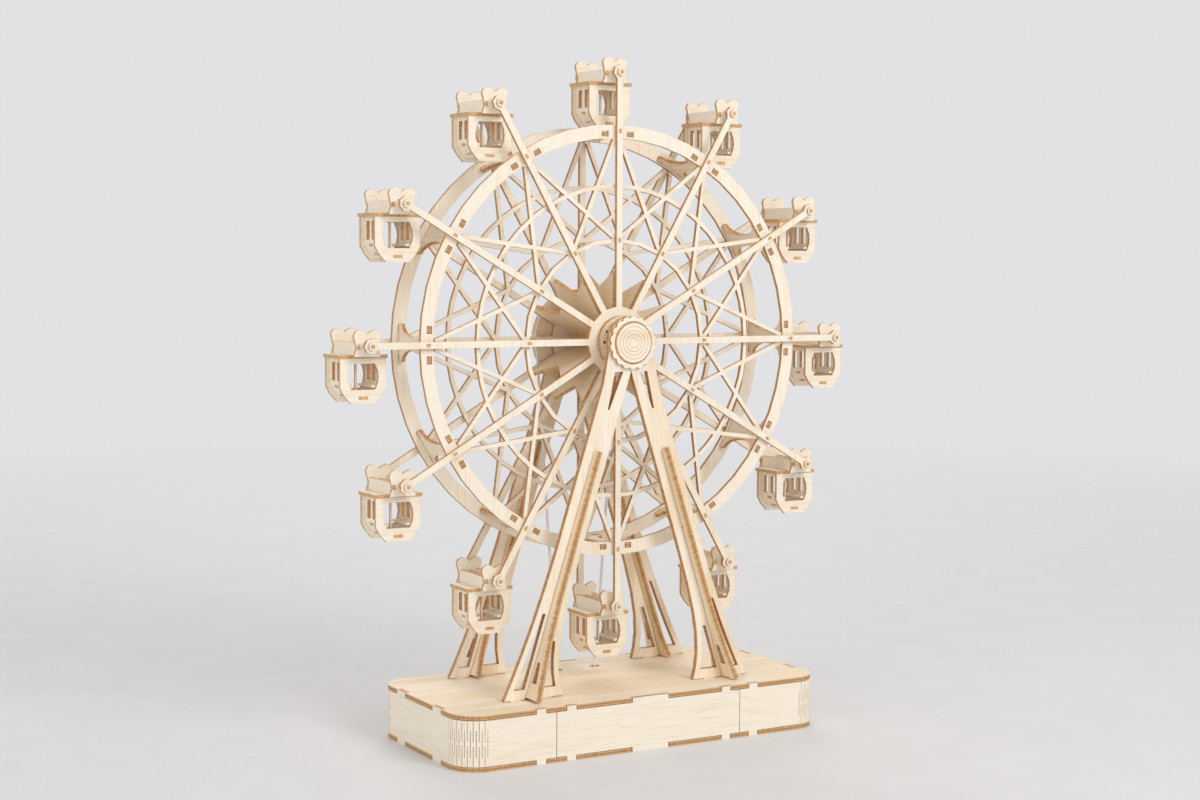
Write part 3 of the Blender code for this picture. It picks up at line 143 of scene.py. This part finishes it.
class Nodes:
    """Builds one material's node tree in short calls; sockets and numbers mix freely."""

    def __init__(self, name):
        self.material = bpy.data.materials.new(name)
        self.material.use_nodes = True
        self.tree = self.material.node_tree
        self.shader = self.tree.nodes["Principled BSDF"]

    def node(self, kind, **settings):
        made = self.tree.nodes.new("ShaderNode" + kind)
        for key, value in settings.items():
            setattr(made, key, value)
        return made

    def feed(self, socket, value):
        if isinstance(value, bpy.types.NodeSocket):
            self.tree.links.new(value, socket)
        else:
            socket.default_value = value

    def math(self, operation, *values, clamp=False):
        made = self.node("Math", operation=operation, use_clamp=clamp)
        for socket, value in zip(made.inputs, values):
            self.feed(socket, value)
        return made.outputs[0]

    def dot(self, a, b):
        made = self.node("VectorMath", operation="DOT_PRODUCT")
        self.feed(made.inputs[0], a)
        self.feed(made.inputs[1], b)
        return made.outputs["Value"]

    def vector(self, operation, a, b):
        made = self.node("VectorMath", operation=operation)
        self.feed(made.inputs[0], a)
        self.feed(made.inputs[1], b)
        return made.outputs["Vector"]

    def join(self, x, y, z):
        made = self.node("CombineXYZ")
        for socket, value in zip(made.inputs, (x, y, z)):
            self.feed(socket, value)
        return made.outputs[0]

    def split(self, vector):
        made = self.node("SeparateXYZ")
        self.feed(made.inputs[0], vector)
        return made.outputs

    def step(self, value, low, high, start=0.0, end=1.0):
        """A smooth ramp from start to end as value goes from low to high."""
        made = self.node("MapRange", interpolation_type="SMOOTHSTEP")
        for socket, number in zip(made.inputs, (value, low, high, start, end)):
            self.feed(socket, number)
        return made.outputs[0]

    def noise(self, vector, scale=1.0, detail=2.0, roughness=0.5, distortion=0.0):
        made = self.node("TexNoise")
        self.feed(made.inputs["Vector"], vector)
        made.inputs["Scale"].default_value = scale
        made.inputs["Detail"].default_value = detail
        made.inputs["Roughness"].default_value = roughness
        made.inputs["Distortion"].default_value = distortion
        return made.outputs[0]

    def mix(self, share, a, b, blend="MIX"):
        made = self.node("Mix", data_type="RGBA", blend_type=blend)
        self.feed(made.inputs[0], share)
        self.feed(made.inputs[6], a)
        self.feed(made.inputs[7], b)
        return made.outputs[2]

    def bump(self, height, distance, strength=1.0):
        made = self.node("Bump")
        made.inputs["Strength"].default_value = strength
        made.inputs["Distance"].default_value = distance
        self.feed(made.inputs["Height"], height)
        return made.outputs[0]

    def finish(self, colour, roughness, normal=None, **values):
        self.feed(self.shader.inputs["Base Color"], colour)
        self.feed(self.shader.inputs["Roughness"], roughness)
        if normal is not None:
            self.feed(self.shader.inputs["Normal"], normal)
        for name, value in values.items():
            self.shader.inputs[name].default_value = value
        return self.material

    def place(self, origin=(0.0, 0.0, 0.0)):
        """Object coordinates in millimetres from a point of the model."""
        coordinates = self.node("TexCoord")
        self.normal = coordinates.outputs["Normal"]
        moved = self.vector("SUBTRACT", coordinates.outputs["Object"], tuple(origin))
        return self.vector("MULTIPLY", moved, (1000.0, 1000.0, 1000.0))

    def facing(self, axis, low=0.7, high=0.9):
        """1 on surfaces that look along the axis, either way."""
        return self.step(self.math("ABSOLUTE", self.dot(self.normal, axis)), low, high)

    def between(self, value, low, high):
        above = self.math("GREATER_THAN", value, low)
        return self.math("MULTIPLY", above, self.math("LESS_THAN", value, high))

    def opposite(self, value):
        return self.math("SUBTRACT", 1.0, value)


# Plywood

def plywood(made, face, along, across, through, layer=0.0, tone=0.0):
    """Colours, pores and burnt edges of laser-cut plywood.

    face is 1 on the sheet's faces and 0 on its cut edges; along, across and through
    are millimetres in the sheet's directions; layer is 1 on an edge's middle ply.
    """
    def stretched(long, fine, deep):
        scaled = zip((along, across, through), (long, fine, deep))
        return made.join(*(made.math("MULTIPLY", value, scale) for value, scale in scaled))

    # Wide bands of tone, the fine lines of the grain, and short dark pores
    bands = made.noise(stretched(0.012, 0.11, 0.3), 1.0, 3.0, 0.55, 0.4)
    streaks = made.noise(stretched(0.05, 1.25, 0.3), 1.0, 4.0, 0.65, 0.3)
    pores = made.noise(stretched(0.35, 5.0, 1.0), 1.0, 1.0)
    warm = made.step(bands, 0.5 - tone, 0.8 - tone)
    faces = made.mix(warm, PALE, WARM)
    faces = made.mix(made.step(streaks, 0.48, 0.75, 0.0, 0.5), faces, STREAK)
    pore = made.step(pores, 0.62, 0.72, 0.0, 0.4)
    faces = made.mix(pore, faces, STREAK)

    # Scorched cut edges, with a darker middle ply
    char = made.noise(stretched(1.3, 1.3, 0.2), 1.0, 2.0)
    edges = made.mix(made.step(char, 0.3, 0.7), EDGE, CORE)
    edges = made.mix(made.math("MULTIPLY", layer, 0.55), edges, BURNT)
    colour = made.mix(face, edges, faces)

    bevel = made.node("Bevel", samples=6)
    bevel.inputs["Radius"].default_value = BURN
    true_normal = made.node("NewGeometry").outputs["True Normal"]
    turned = made.opposite(made.dot(bevel.outputs[0], true_normal))
    colour = made.mix(made.step(turned, 0.02, 0.25, 0.0, 0.6), colour, BURNT)
    ridges = made.math("MULTIPLY", streaks, 0.5)
    height = made.math("SUBTRACT", ridges, made.math("MULTIPLY", pore, 0.6))
    sanded = made.math("MULTIPLY", face, 0.08)
    roughness = made.math("ADD", made.math("MULTIPLY", streaks, 0.2), sanded)
    roughness = made.math("ADD", roughness, 0.5)
    return made.finish(colour, roughness, made.bump(height, 0.06 * MM, 0.6))


def sheet_wood(name, axis=(0, 1, 0), grain=(1, 0, 0), middle=None, thickness=2.0, tone=0.0):
    """A flat sheet whose faces look along axis; middle is its middle plane, in millimetres."""
    made = Nodes(name)
    place = made.place()
    axis = Vector(axis).normalized()
    grain = Vector(grain).normalized()
    through = made.dot(place, axis)
    layer = 0.0
    if middle is not None:
        layer = made.math("ABSOLUTE", made.math("SUBTRACT", through, middle))
        layer = made.step(layer, 0.14 * thickness, 0.22 * thickness, 1.0, 0.0)
    along = made.dot(place, grain)
    across = made.dot(place, axis.cross(grain))
    return plywood(made, made.facing(axis), along, across, through, layer, tone)


def bent_wood(name):
    """A wall bent about Z, its grain level all the way round."""
    made = Nodes(name)
    x, y, z = made.split(made.place())
    edge = made.facing((0, 0, 1), 0.3, 0.7)
    return plywood(made, made.opposite(edge), made.math("ADD", x, y), z, 0.0)


def fin_wood(name, centre):
    """Radial plates about a centre in the XZ plane."""
    made = Nodes(name)
    place = made.place(centre)
    x, y, z = made.split(place)
    radial = made.vector("NORMALIZE", made.join(x, 0.0, z), (0, 0, 0))
    sideways = made.dot(made.normal, made.vector("CROSS_PRODUCT", radial, (0.0, 1.0, 0.0)))
    face = made.step(made.math("ABSOLUTE", sideways), 0.6, 0.85)
    # tone=0.6 turns the fins' faces warm all over: partly the plates' own darker, burnt look,
    # partly painted warm shade for the inside of the hub between the front and rear plates.
    return plywood(made, face, y, made.dot(place, radial), 0.0, tone=0.6)


def gondola_wood(name, pivot):
    """One gondola: its end walls, tub, roof, rails and crown plates are sheets of their own."""
    made = Nodes(name)
    x, y, z = made.split(made.place(pivot))
    out = made.math("ABSOLUTE", y)
    crown = made.math("GREATER_THAN", out, CROWN_INNER)
    roof = made.math("MULTIPLY", made.between(z, ROOF_LOW, ROOF_HIGH), made.opposite(crown))
    rail = made.math("MULTIPLY", made.math("GREATER_THAN", z, ROOF_HIGH), made.opposite(crown))
    wall = made.math("MULTIPLY", made.between(out, WALL_INNER, WALL_OUTER),
                     made.math("LESS_THAN", z, ROOF_LOW))
    end = made.math("MAXIMUM", wall, crown)
    sill = made.math("MULTIPLY", made.facing((0, 0, 1)), made.math("GREATER_THAN", z, BENCH_TOP))
    rim = made.math("MAXIMUM", made.facing((0, 1, 0)), sill)
    face = made.opposite(rim)
    for share, looks in ((end, (0, 1, 0)), (roof, (0, 0, 1)), (rail, (1, 0, 0))):
        step = made.math("SUBTRACT", made.facing(looks), face)
        face = made.math("ADD", face, made.math("MULTIPLY", share, step))
    return plywood(made, face, x, made.math("ADD", y, z), 0.0)


def metal(name, colour, roughness, axis=(0, 1, 0)):
    """Turned or rolled metal: fine lines across the axis and a slightly uneven polish."""
    made = Nodes(name)
    place = made.place()
    along = made.math("MULTIPLY", made.dot(place, Vector(axis)), 9.0)
    lines = made.noise(made.join(along, made.noise(place, 0.3), 0.0), 1.0, 2.0)
    cloud = made.noise(place, 0.35, 3.0)
    dull = (*(0.62 * value for value in colour[:3]), 1.0)
    tint = made.mix(made.step(cloud, 0.35, 0.7, 0.0, 0.4), colour, dull)
    rough = made.math("ADD", made.math("MULTIPLY", cloud, 0.2), roughness)
    return made.finish(tint, rough, made.bump(lines, 0.01 * MM, 0.35), Metallic=1.0)


def elastic(name):
    """Clear bluish elastic with a milky core."""
    made = Nodes(name)
    cloud = made.noise(made.place(), 0.4, 3.0)
    colour = made.mix(made.step(cloud, 0.3, 0.7), srgb(234, 240, 246), srgb(246, 249, 252))
    rough = made.math("ADD", made.math("MULTIPLY", cloud, 0.15), 0.18)
    glassy = {"Transmission Weight": 0.08, "IOR": 1.45}
    return made.finish(colour, rough, made.bump(cloud, 0.03 * MM, 0.4), **glassy)


def paint(node, material):
    """Gives a CAD node its material in every slot."""
    item = frame["nodes"][node]
    item.data.materials.clear()
    item.data.materials.append(material)


def paint_sheet(node, axis=(0, 1, 0), grain=(1, 0, 0), thickness=2.0, tone=0.0):
    low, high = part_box(node)
    middle = ((low + high) / 2).dot(Vector(axis).normalized()) / MM
    paint(node, sheet_wood(node, axis, grain, middle, thickness, tone))


# Pieces

def add_object(name, shape):
    data = bpy.data.meshes.new(name)
    shape.to_mesh(data)
    shape.free()
    item = bpy.data.objects.new(name, data)
    bpy.context.scene.collection.objects.link(item)
    return item


def add_piece(name, shape, materials, body, nodes=(), smooth=False):
    """A visible piece that rides on a body; nodes are the CAD nodes that it stands for."""
    bmesh.ops.recalc_face_normals(shape, faces=shape.faces)
    for face in shape.faces:
        face.smooth = smooth
    piece = add_object(name, shape)
    for material in materials:
        piece.data.materials.append(material)
    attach(piece, body)
    if nodes:
        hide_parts(*nodes)
    return piece


def add_box(shape, middle, size, turn=None, material=0):
    """A block with its edges just broken; turn is a rotation matrix."""
    before = set(shape.faces)
    matrix = Matrix.Translation(middle) @ (turn or Matrix()) @ Matrix.Diagonal((*size, 1))
    made = bmesh.ops.create_cube(shape, size=1, matrix=matrix)
    edges = list({edge for vertex in made["verts"] for edge in vertex.link_edges})
    broken = EDGE_BREAK * min(size)
    bmesh.ops.bevel(shape, geom=edges, offset=broken, segments=1, affect="EDGES")
    for face in shape.faces:
        if face not in before:
            face.material_index = material


def add_turned(shape, profile, centre, facing, steps=48, material=0):
    """A closed profile of (radius, reach) turned about an axis along Y."""
    points = [shape.verts.new(centre + Vector((radius, facing * reach, 0)))
              for radius, reach in profile]
    edges = [shape.edges.new((a, b)) for a, b in zip(points, points[1:] + points[:1])]
    before = set(shape.faces)
    bmesh.ops.spin(shape, geom=points + edges, cent=centre, axis=(0, 1, 0), angle=2 * math.pi,
                   steps=steps, use_merge=True, use_duplicate=False)
    for face in shape.faces:
        if face not in before:
            face.material_index = material


def wheel_point(radius, angle, y):
    return Vector((WHEEL.x + radius * math.sin(angle), y, WHEEL.z + radius * math.cos(angle)))


def bend_slits(low, high, side):
    """The blocks that cut the slits in both corners of one end wall."""
    height = high.z - low.z
    reach = CORNER - SHEET / 2
    centre_x = side * (max(abs(low.x), abs(high.x)) - CORNER)
    shape = bmesh.new()
    for centre_y, across in ((low.y + CORNER, -1), (high.y - CORNER, 1)):
        for i in range(SLITS):
            angle = math.pi / 2 * (i + 0.5) / SLITS
            out = Vector((side * math.cos(angle), across * math.sin(angle)))
            turn = Matrix.Rotation(math.atan2(out.y, out.x), 4, "Z")
            spans = MIDDLE_SLIT if i % 2 else PAIRED_SLITS
            for start, stop in spans:
                middle = Vector((centre_x + reach * out.x, centre_y + reach * out.y,
                                 low.z + height * (start + stop) / 2))
                size = Matrix.Diagonal((3 * SHEET, SLIT, height * (stop - start), 1))
                matrix = Matrix.Translation(middle) @ turn @ size
                bmesh.ops.create_cube(shape, size=1, matrix=matrix)
    return shape


def cut_bends():
    """Staggered slits through the corners of each end wall, as a Boolean on the CAD wall."""
    for end, side in (("left", -1), ("right", 1)):
        name = "base_" + end + "_wall"
        cutter = add_object(name + "_slits", bend_slits(*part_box(name), side))
        cutter.hide_render = True
        cutter.hide_viewport = True
        wall = frame["nodes"][name]
        weld = wall.modifiers.new("Weld", "WELD")
        weld.merge_threshold = 0.001 * MM
        slits = wall.modifiers.new("Slits", "BOOLEAN")
        slits.operation = "DIFFERENCE"
        slits.solver = "EXACT"
        slits.object = cutter


def grooved(radii, top, reach, depth):
    """Points of a profile across turned grooves; a negative reach is for falling radii."""
    points = []
    for radius in radii:
        points += [(radius - reach, top), (radius, top - depth), (radius + reach, top)]
    return points


def pin_end(radius, side, shoulder, top):
    return [(ON_AXIS, -PROUD), (radius, -PROUD), (radius, side),
            (radius - PIN_SHOULDER, shoulder), (ON_AXIS, top)]


def make_caps(wood):
    """Hub caps with fine turned grooves round their faces."""
    for end, facing in (("front", -1), ("rear", 1)):
        node = end + "_hub_cap"
        low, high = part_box(node)
        inner = high.y if facing < 0 else low.y
        depth = high.y - low.y
        sink = CAP_SINK * depth
        profile = [(ON_AXIS, sink), (CAP_BORE, sink), (CAP_BORE, 0.0), (CAP_RADIUS, 0.0),
                   (CAP_RADIUS, depth - CAP_CHAMFER), (CAP_RADIUS - CAP_CHAMFER, depth),
                   *grooved(CAP_GROOVES, depth, -CAP_GROOVE_REACH, CAP_GROOVE_DEPTH),
                   (ON_AXIS, depth)]
        shape = bmesh.new()
        add_turned(shape, profile, Vector((WHEEL.x, inner, WHEEL.z)), facing, steps=64)
        add_piece(node + "_turned", shape, [wood], "wheel", [node])


def make_knob_face(wood, end_grain):
    """A grooved disc on the winding knob, with the end of the arbor at its middle."""
    low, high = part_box("winding_knob")
    centre = Vector(((low.x + high.x) / 2, high.y, (low.z + high.z) / 2))
    shape = bmesh.new()
    profile = [(KNOB_BORE, -PROUD), (KNOB_BORE, KNOB_RISE),
               *grooved(KNOB_GROOVES, KNOB_RISE, KNOB_GROOVE_REACH, KNOB_GROOVE_DEPTH),
               (KNOB_RADIUS - KNOB_GROOVE_REACH, KNOB_RISE),
               (KNOB_RADIUS, KNOB_RISE - KNOB_GROOVE_DEPTH), (KNOB_RADIUS, -PROUD)]
    add_turned(shape, profile, centre, 1)
    add_turned(shape, pin_end(*ARBOR_END), centre, 1, steps=32, material=1)
    add_piece("winding_knob_face", shape, [wood, end_grain], "winding_key")


def make_eyelets(wood):
    """Raised rings round the peg holes of the front hub disc."""
    low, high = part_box("front_hub_disc")
    shape = bmesh.new()
    profile = [(EYELET_BORE, -PROUD), (EYELET_BORE, EYELET_SIDE),
               (EYELET_BORE + EYELET_CHAMFER, EYELET_TOP),
               (EYELET_RADIUS - EYELET_CHAMFER, EYELET_TOP),
               (EYELET_RADIUS, EYELET_SIDE), (EYELET_RADIUS, -PROUD)]
    for angle in CLOCK:
        add_turned(shape, profile, wheel_point(PEG_CIRCLE, angle, low.y), -1, steps=20)
    add_piece("hub_disc_eyelets", shape, [wood], "wheel")


def make_spoke_tabs(end_grain):
    """Tab ends that show through the spokes where they cross the rims and the inner rings."""
    shape = bmesh.new()
    for end, facing in (("front", -1), ("rear", 1)):
        low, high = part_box(end + "_spokes")
        y = low.y if facing < 0 else high.y
        for angle in CLOCK:
            turn = Matrix.Rotation(angle, 4, "Y")
            for radius in SPOKE_JOINTS:
                add_box(shape, wheel_point(radius, angle, y), SPOKE_TAB, turn)
    add_piece("spoke_tab_ends", shape, [end_grain], "wheel")


def belt_line(top_radius, low_radius, top, low, steps=40):
    """The closed line of an open belt round two pulleys, as points in the XZ plane."""
    lean = math.asin((top_radius - low_radius) / (top - low))
    points = []
    for centre, radius, start, stop in ((top, top_radius, -lean, math.pi + lean),
                                        (low, low_radius, math.pi + lean, 2 * math.pi - lean)):
        for i in range(steps + 1):
            angle = start + (stop - start) * i / steps
            points.append((radius * math.cos(angle), centre + radius * math.sin(angle)))
    return points


def make_belt(material):
    """A round cord along the belt's line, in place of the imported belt."""
    low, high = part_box("drive_belt")
    top_radius = (high.x - low.x) / 2 - BELT
    centre = JOINTS["cylinder_spin"].z
    low_radius = centre - low.z - BELT
    y = (low.y + high.y) / 2
    line = belt_line(top_radius, low_radius, WHEEL.z, centre)
    shape = bmesh.new()
    rows = []
    for i, (x, z) in enumerate(line):
        ahead = line[(i + 1) % len(line)]
        behind = line[i - 1]
        along = Vector((ahead[0] - behind[0], 0, ahead[1] - behind[1])).normalized()
        out = Vector((along.z, 0, -along.x))
        row = []
        for k in range(BELT_SIDES):
            turn = 2 * math.pi * k / BELT_SIDES
            offset = BELT * (math.cos(turn) * out + Vector((0, math.sin(turn), 0)))
            row.append(shape.verts.new(Vector((WHEEL.x + x, y, z)) + offset))
        rows.append(row)
    for row, following in zip(rows, rows[1:] + rows[:1]):
        for k in range(BELT_SIDES):
            k_next = (k + 1) % BELT_SIDES
            shape.faces.new((row[k], row[k_next], following[k_next], following[k]))
    add_piece("clear_belt", shape, [material], "base", ["drive_belt"],
              smooth=True)


def make_gondola_trim(number, pivot, wood, end_grain):
    """The pole and the tab ends of one gondola."""
    shape = bmesh.new()

    def at(x, y, z):
        return pivot + Vector((x, y, z)) * MM

    def add_tab(place, size, turn=None):
        add_box(shape, at(*place), [side * MM for side in size], turn, material=1)

    middle = Matrix.Translation(at(0, 0, (FLOOR_TOP + ROOF_LOW) / 2))
    height = ROOF_LOW - FLOOR_TOP + 2 * POLE_SINK
    bmesh.ops.create_cone(shape, cap_ends=True, segments=12, radius1=POLE_RADIUS * MM,
                          radius2=POLE_RADIUS * MM, depth=height * MM, matrix=middle)
    for side in (-1, 1):
        lean = Matrix.Rotation(-side * SLANT, 4, "Y")
        for (place, size), turn in ((FLOOR_TAB, None), (SLANT_TAB, lean), (BENCH_TAB, None)):
            x, y, z = place
            add_tab((side * x, side * y, z), size, turn)
        for rail in (-RAIL_X, RAIL_X):
            add_tab((rail, side * CROWN_OUTER, RAIL_TAB_Z), RAIL_TAB_SIZE)
        pivot_end = at(0, side * PIN_END, 0)
        add_turned(shape, pin_end(*PIVOT_END), pivot_end, side, steps=16, material=1)
    name = "gondola_%02d" % number
    add_piece(name + "_trim", shape, [wood, end_grain], name + "_body")


# Camera, lamps and stage

CAMERA_PLACE = Vector((-490.2, -852.9, 235.2)) * MM
AIM = Vector((0.0, 0.0, 164.0)) * MM
ROLL = math.radians(0.28)
LENS = 60.0

LIT_POINT = (0.0, 0.0, 0.16)
LAMPS = (   # name, place in metres, width, power in watts and colour
    ("key", (0.35, -1.25, 0.95), 0.7, 9.0, (1.0, 0.985, 0.96)),
    ("fill", (-1.3, -0.5, 0.6), 0.9, 3.9, (1.0, 1.0, 1.0)),
    ("back", (0.5, 1.1, 1.0), 0.8, 4.6, (1.0, 1.0, 1.0)),
)
SKY = (1.0, 0.98, 0.95, 1.0)
SKY_STRENGTH = 0.64
BACKGROUND = srgb(226, 226, 228)
FLOOR_LIGHT = srgb(222, 222, 224)
FLOOR_DARK = srgb(217, 217, 219)
FLOOR_REACH = 14.0          # half the floor's side
FADE = (0.35, 1.7)          # distances between which the floor turns into the background


def make_camera():
    data = bpy.data.cameras.new("camera")
    data.lens = LENS
    data.clip_start = 0.05
    data.clip_end = 60.0
    camera = bpy.data.objects.new("camera", data)
    camera.location = CAMERA_PLACE
    turn = (AIM - CAMERA_PLACE).to_track_quat("-Z", "Y").to_matrix()
    camera.rotation_euler = (turn @ Matrix.Rotation(ROLL, 3, "Z")).to_euler()
    bpy.context.scene.collection.objects.link(camera)
    bpy.context.scene.camera = camera


def make_lamps():
    for name, place, width, power, colour in LAMPS:
        data = bpy.data.lights.new(name, "AREA")
        data.shape = "DISK"
        data.size = width
        data.energy = power
        data.color = colour
        lamp = bpy.data.objects.new(name, data)
        lamp.location = place
        towards = Vector(LIT_POINT) - Vector(place)
        lamp.rotation_euler = towards.to_track_quat("-Z", "Y").to_euler()
        bpy.context.scene.collection.objects.link(lamp)


def seen_directly(tree):
    """1 for rays of the camera, of reflections and of views through glass."""
    path = tree.nodes.new("ShaderNodeLightPath")
    total = path.outputs["Is Camera Ray"]
    for name in ("Is Glossy Ray", "Is Transmission Ray"):
        join = tree.nodes.new("ShaderNodeMath")
        join.operation = "MAXIMUM"
        tree.links.new(total, join.inputs[0])
        tree.links.new(path.outputs[name], join.inputs[1])
        total = join.outputs[0]
    return total


def make_world():
    """A soft sky lights the toy; rays that see the world directly see the background."""
    world = bpy.data.worlds.new("studio")
    bpy.context.scene.world = world
    world.use_nodes = True
    tree = world.node_tree
    tree.nodes.clear()
    light = tree.nodes.new("ShaderNodeBackground")
    light.inputs["Color"].default_value = SKY
    light.inputs["Strength"].default_value = SKY_STRENGTH
    seen = tree.nodes.new("ShaderNodeBackground")
    seen.inputs["Color"].default_value = BACKGROUND
    choose = tree.nodes.new("ShaderNodeMixShader")
    tree.links.new(seen_directly(tree), choose.inputs[0])
    tree.links.new(light.outputs[0], choose.inputs[1])
    tree.links.new(seen.outputs[0], choose.inputs[2])
    tree.links.new(choose.outputs[0], tree.nodes.new("ShaderNodeOutputWorld").inputs[0])


def make_floor():
    """A wide floor that takes the shadow near the toy and turns into the background far off."""
    shape = bmesh.new()
    bmesh.ops.create_grid(shape, x_segments=8, y_segments=8, size=FLOOR_REACH)
    floor = add_object("floor", shape)
    made = Nodes("floor")
    place = made.node("TexCoord").outputs["Object"]
    mottle = made.noise(place, 30.0, 3.0)
    colour = made.mix(made.step(mottle, 0.3, 0.7, 0.0, 0.5), FLOOR_LIGHT, FLOOR_DARK)
    made.finish(colour, 0.75, **{"Specular IOR Level": 0.2})
    away = made.node("VectorMath", operation="LENGTH")
    made.feed(away.inputs[0], made.vector("MULTIPLY", place, (1.0, 1.0, 0.0)))
    fade = made.step(away.outputs["Value"], *FADE)
    far = made.math("MULTIPLY", fade, seen_directly(made.tree))
    glow = made.node("Emission")
    glow.inputs["Color"].default_value = BACKGROUND
    choose = made.node("MixShader")
    made.feed(choose.inputs[0], far)
    made.feed(choose.inputs[1], made.shader.outputs[0])
    made.feed(choose.inputs[2], glow.outputs[0])
    made.feed(made.tree.nodes["Material Output"].inputs["Surface"], choose.outputs[0])
    floor.data.materials.append(made.material)


# Materials of the CAD nodes

def paint_base():
    paint_sheet("base_bottom_plate", (0, 0, 1))
    paint_sheet("base_top_plate", (0, 0, 1), tone=0.25)
    for name in ("base_front_panel", "base_rear_panel"):
        paint_sheet(name)
    for name in ("base_left_wall", "base_right_wall"):
        paint(name, bent_wood(name))


def line_of(node):
    """The direction of a long node, from the middle of its low end to that of its top."""
    low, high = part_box(node)
    near = 0.04 * (high.z - low.z)
    ends = []
    for level in (low.z, high.z):
        found = [v.co for v in frame["nodes"][node].data.vertices if abs(v.co.z - level) < near]
        ends.append(sum(found, Vector()) / len(found))
    return (ends[1] - ends[0]).normalized()


def paint_frames():
    for end in ("front", "rear"):
        paint_sheet(end + "_a_frame", grain=(0, 0, 1), thickness=3.0, tone=0.12)
        paint_sheet(end + "_cap_ring")
        for side in ("left", "right"):
            name = end + "_" + side + "_brace"
            line = line_of(name)
            line.y = 0
            paint_sheet(name, line.cross(Vector((0, 1, 0))), line, 3.0, tone=0.3)


def paint_wheel():
    for end in ("front", "rear"):
        for name in ("_rim", "_spokes"):
            paint_sheet(end + name, grain=(0, 0, 1))
        paint_sheet(end + "_lattice")
    for k, angle in enumerate(CLOCK, 1):
        outward = (math.sin(angle), 0, math.cos(angle))
        paint_sheet("rim_strut_%02d" % k, outward, (0, 1, 0), tone=0.2)
    paint("hub_fins", fin_wood("hub_fins", WHEEL))
    paint_sheet("front_hub_disc", thickness=3.0, tone=0.25)
    paint_sheet("wheel_pulley", thickness=5.0, tone=0.1)


def paint_gondolas(wood, end_grain):
    for k in range(1, SPOKES + 1):
        name = "gondola_%02d" % k
        pivot = JOINTS[name + "_swing"]
        paint(name, gondola_wood(name, pivot))
        make_gondola_trim(k, pivot, wood, end_grain)


def paint_movement():
    brass = metal("brass", srgb(222, 184, 106), 0.22)
    steel = metal("steel", srgb(196, 198, 202), 0.25)
    zinc = metal("zinc", srgb(168, 170, 174), 0.4, (0, 0, 1))
    for name in ("movement_cylinder", "spring_barrel", "movement_governor"):
        paint(name, brass)
    for name in ("wheel_axle", "movement_comb", "mainspring", "winding_arbor"):
        paint(name, steel)
    paint("movement_bedplate", zinc)
    paint_sheet("drive_pulley", thickness=5.0)
    paint_sheet("winding_knob", thickness=6.7)


def main():
    make_camera()
    make_world()
    make_lamps()
    make_floor()
    paint_base()
    paint_frames()
    paint_wheel()
    wood = sheet_wood("trim_wood")
    end_grain = sheet_wood("end_grain", (0, 0, 1), tone=0.3)
    paint_gondolas(wood, end_grain)
    paint_movement()
    make_caps(wood)
    make_knob_face(wood, end_grain)
    make_eyelets(wood)
    make_spoke_tabs(end_grain)
    make_belt(elastic("elastic"))
    cut_bends()
    bpy.context.scene.view_settings.view_transform = "Standard"


main()
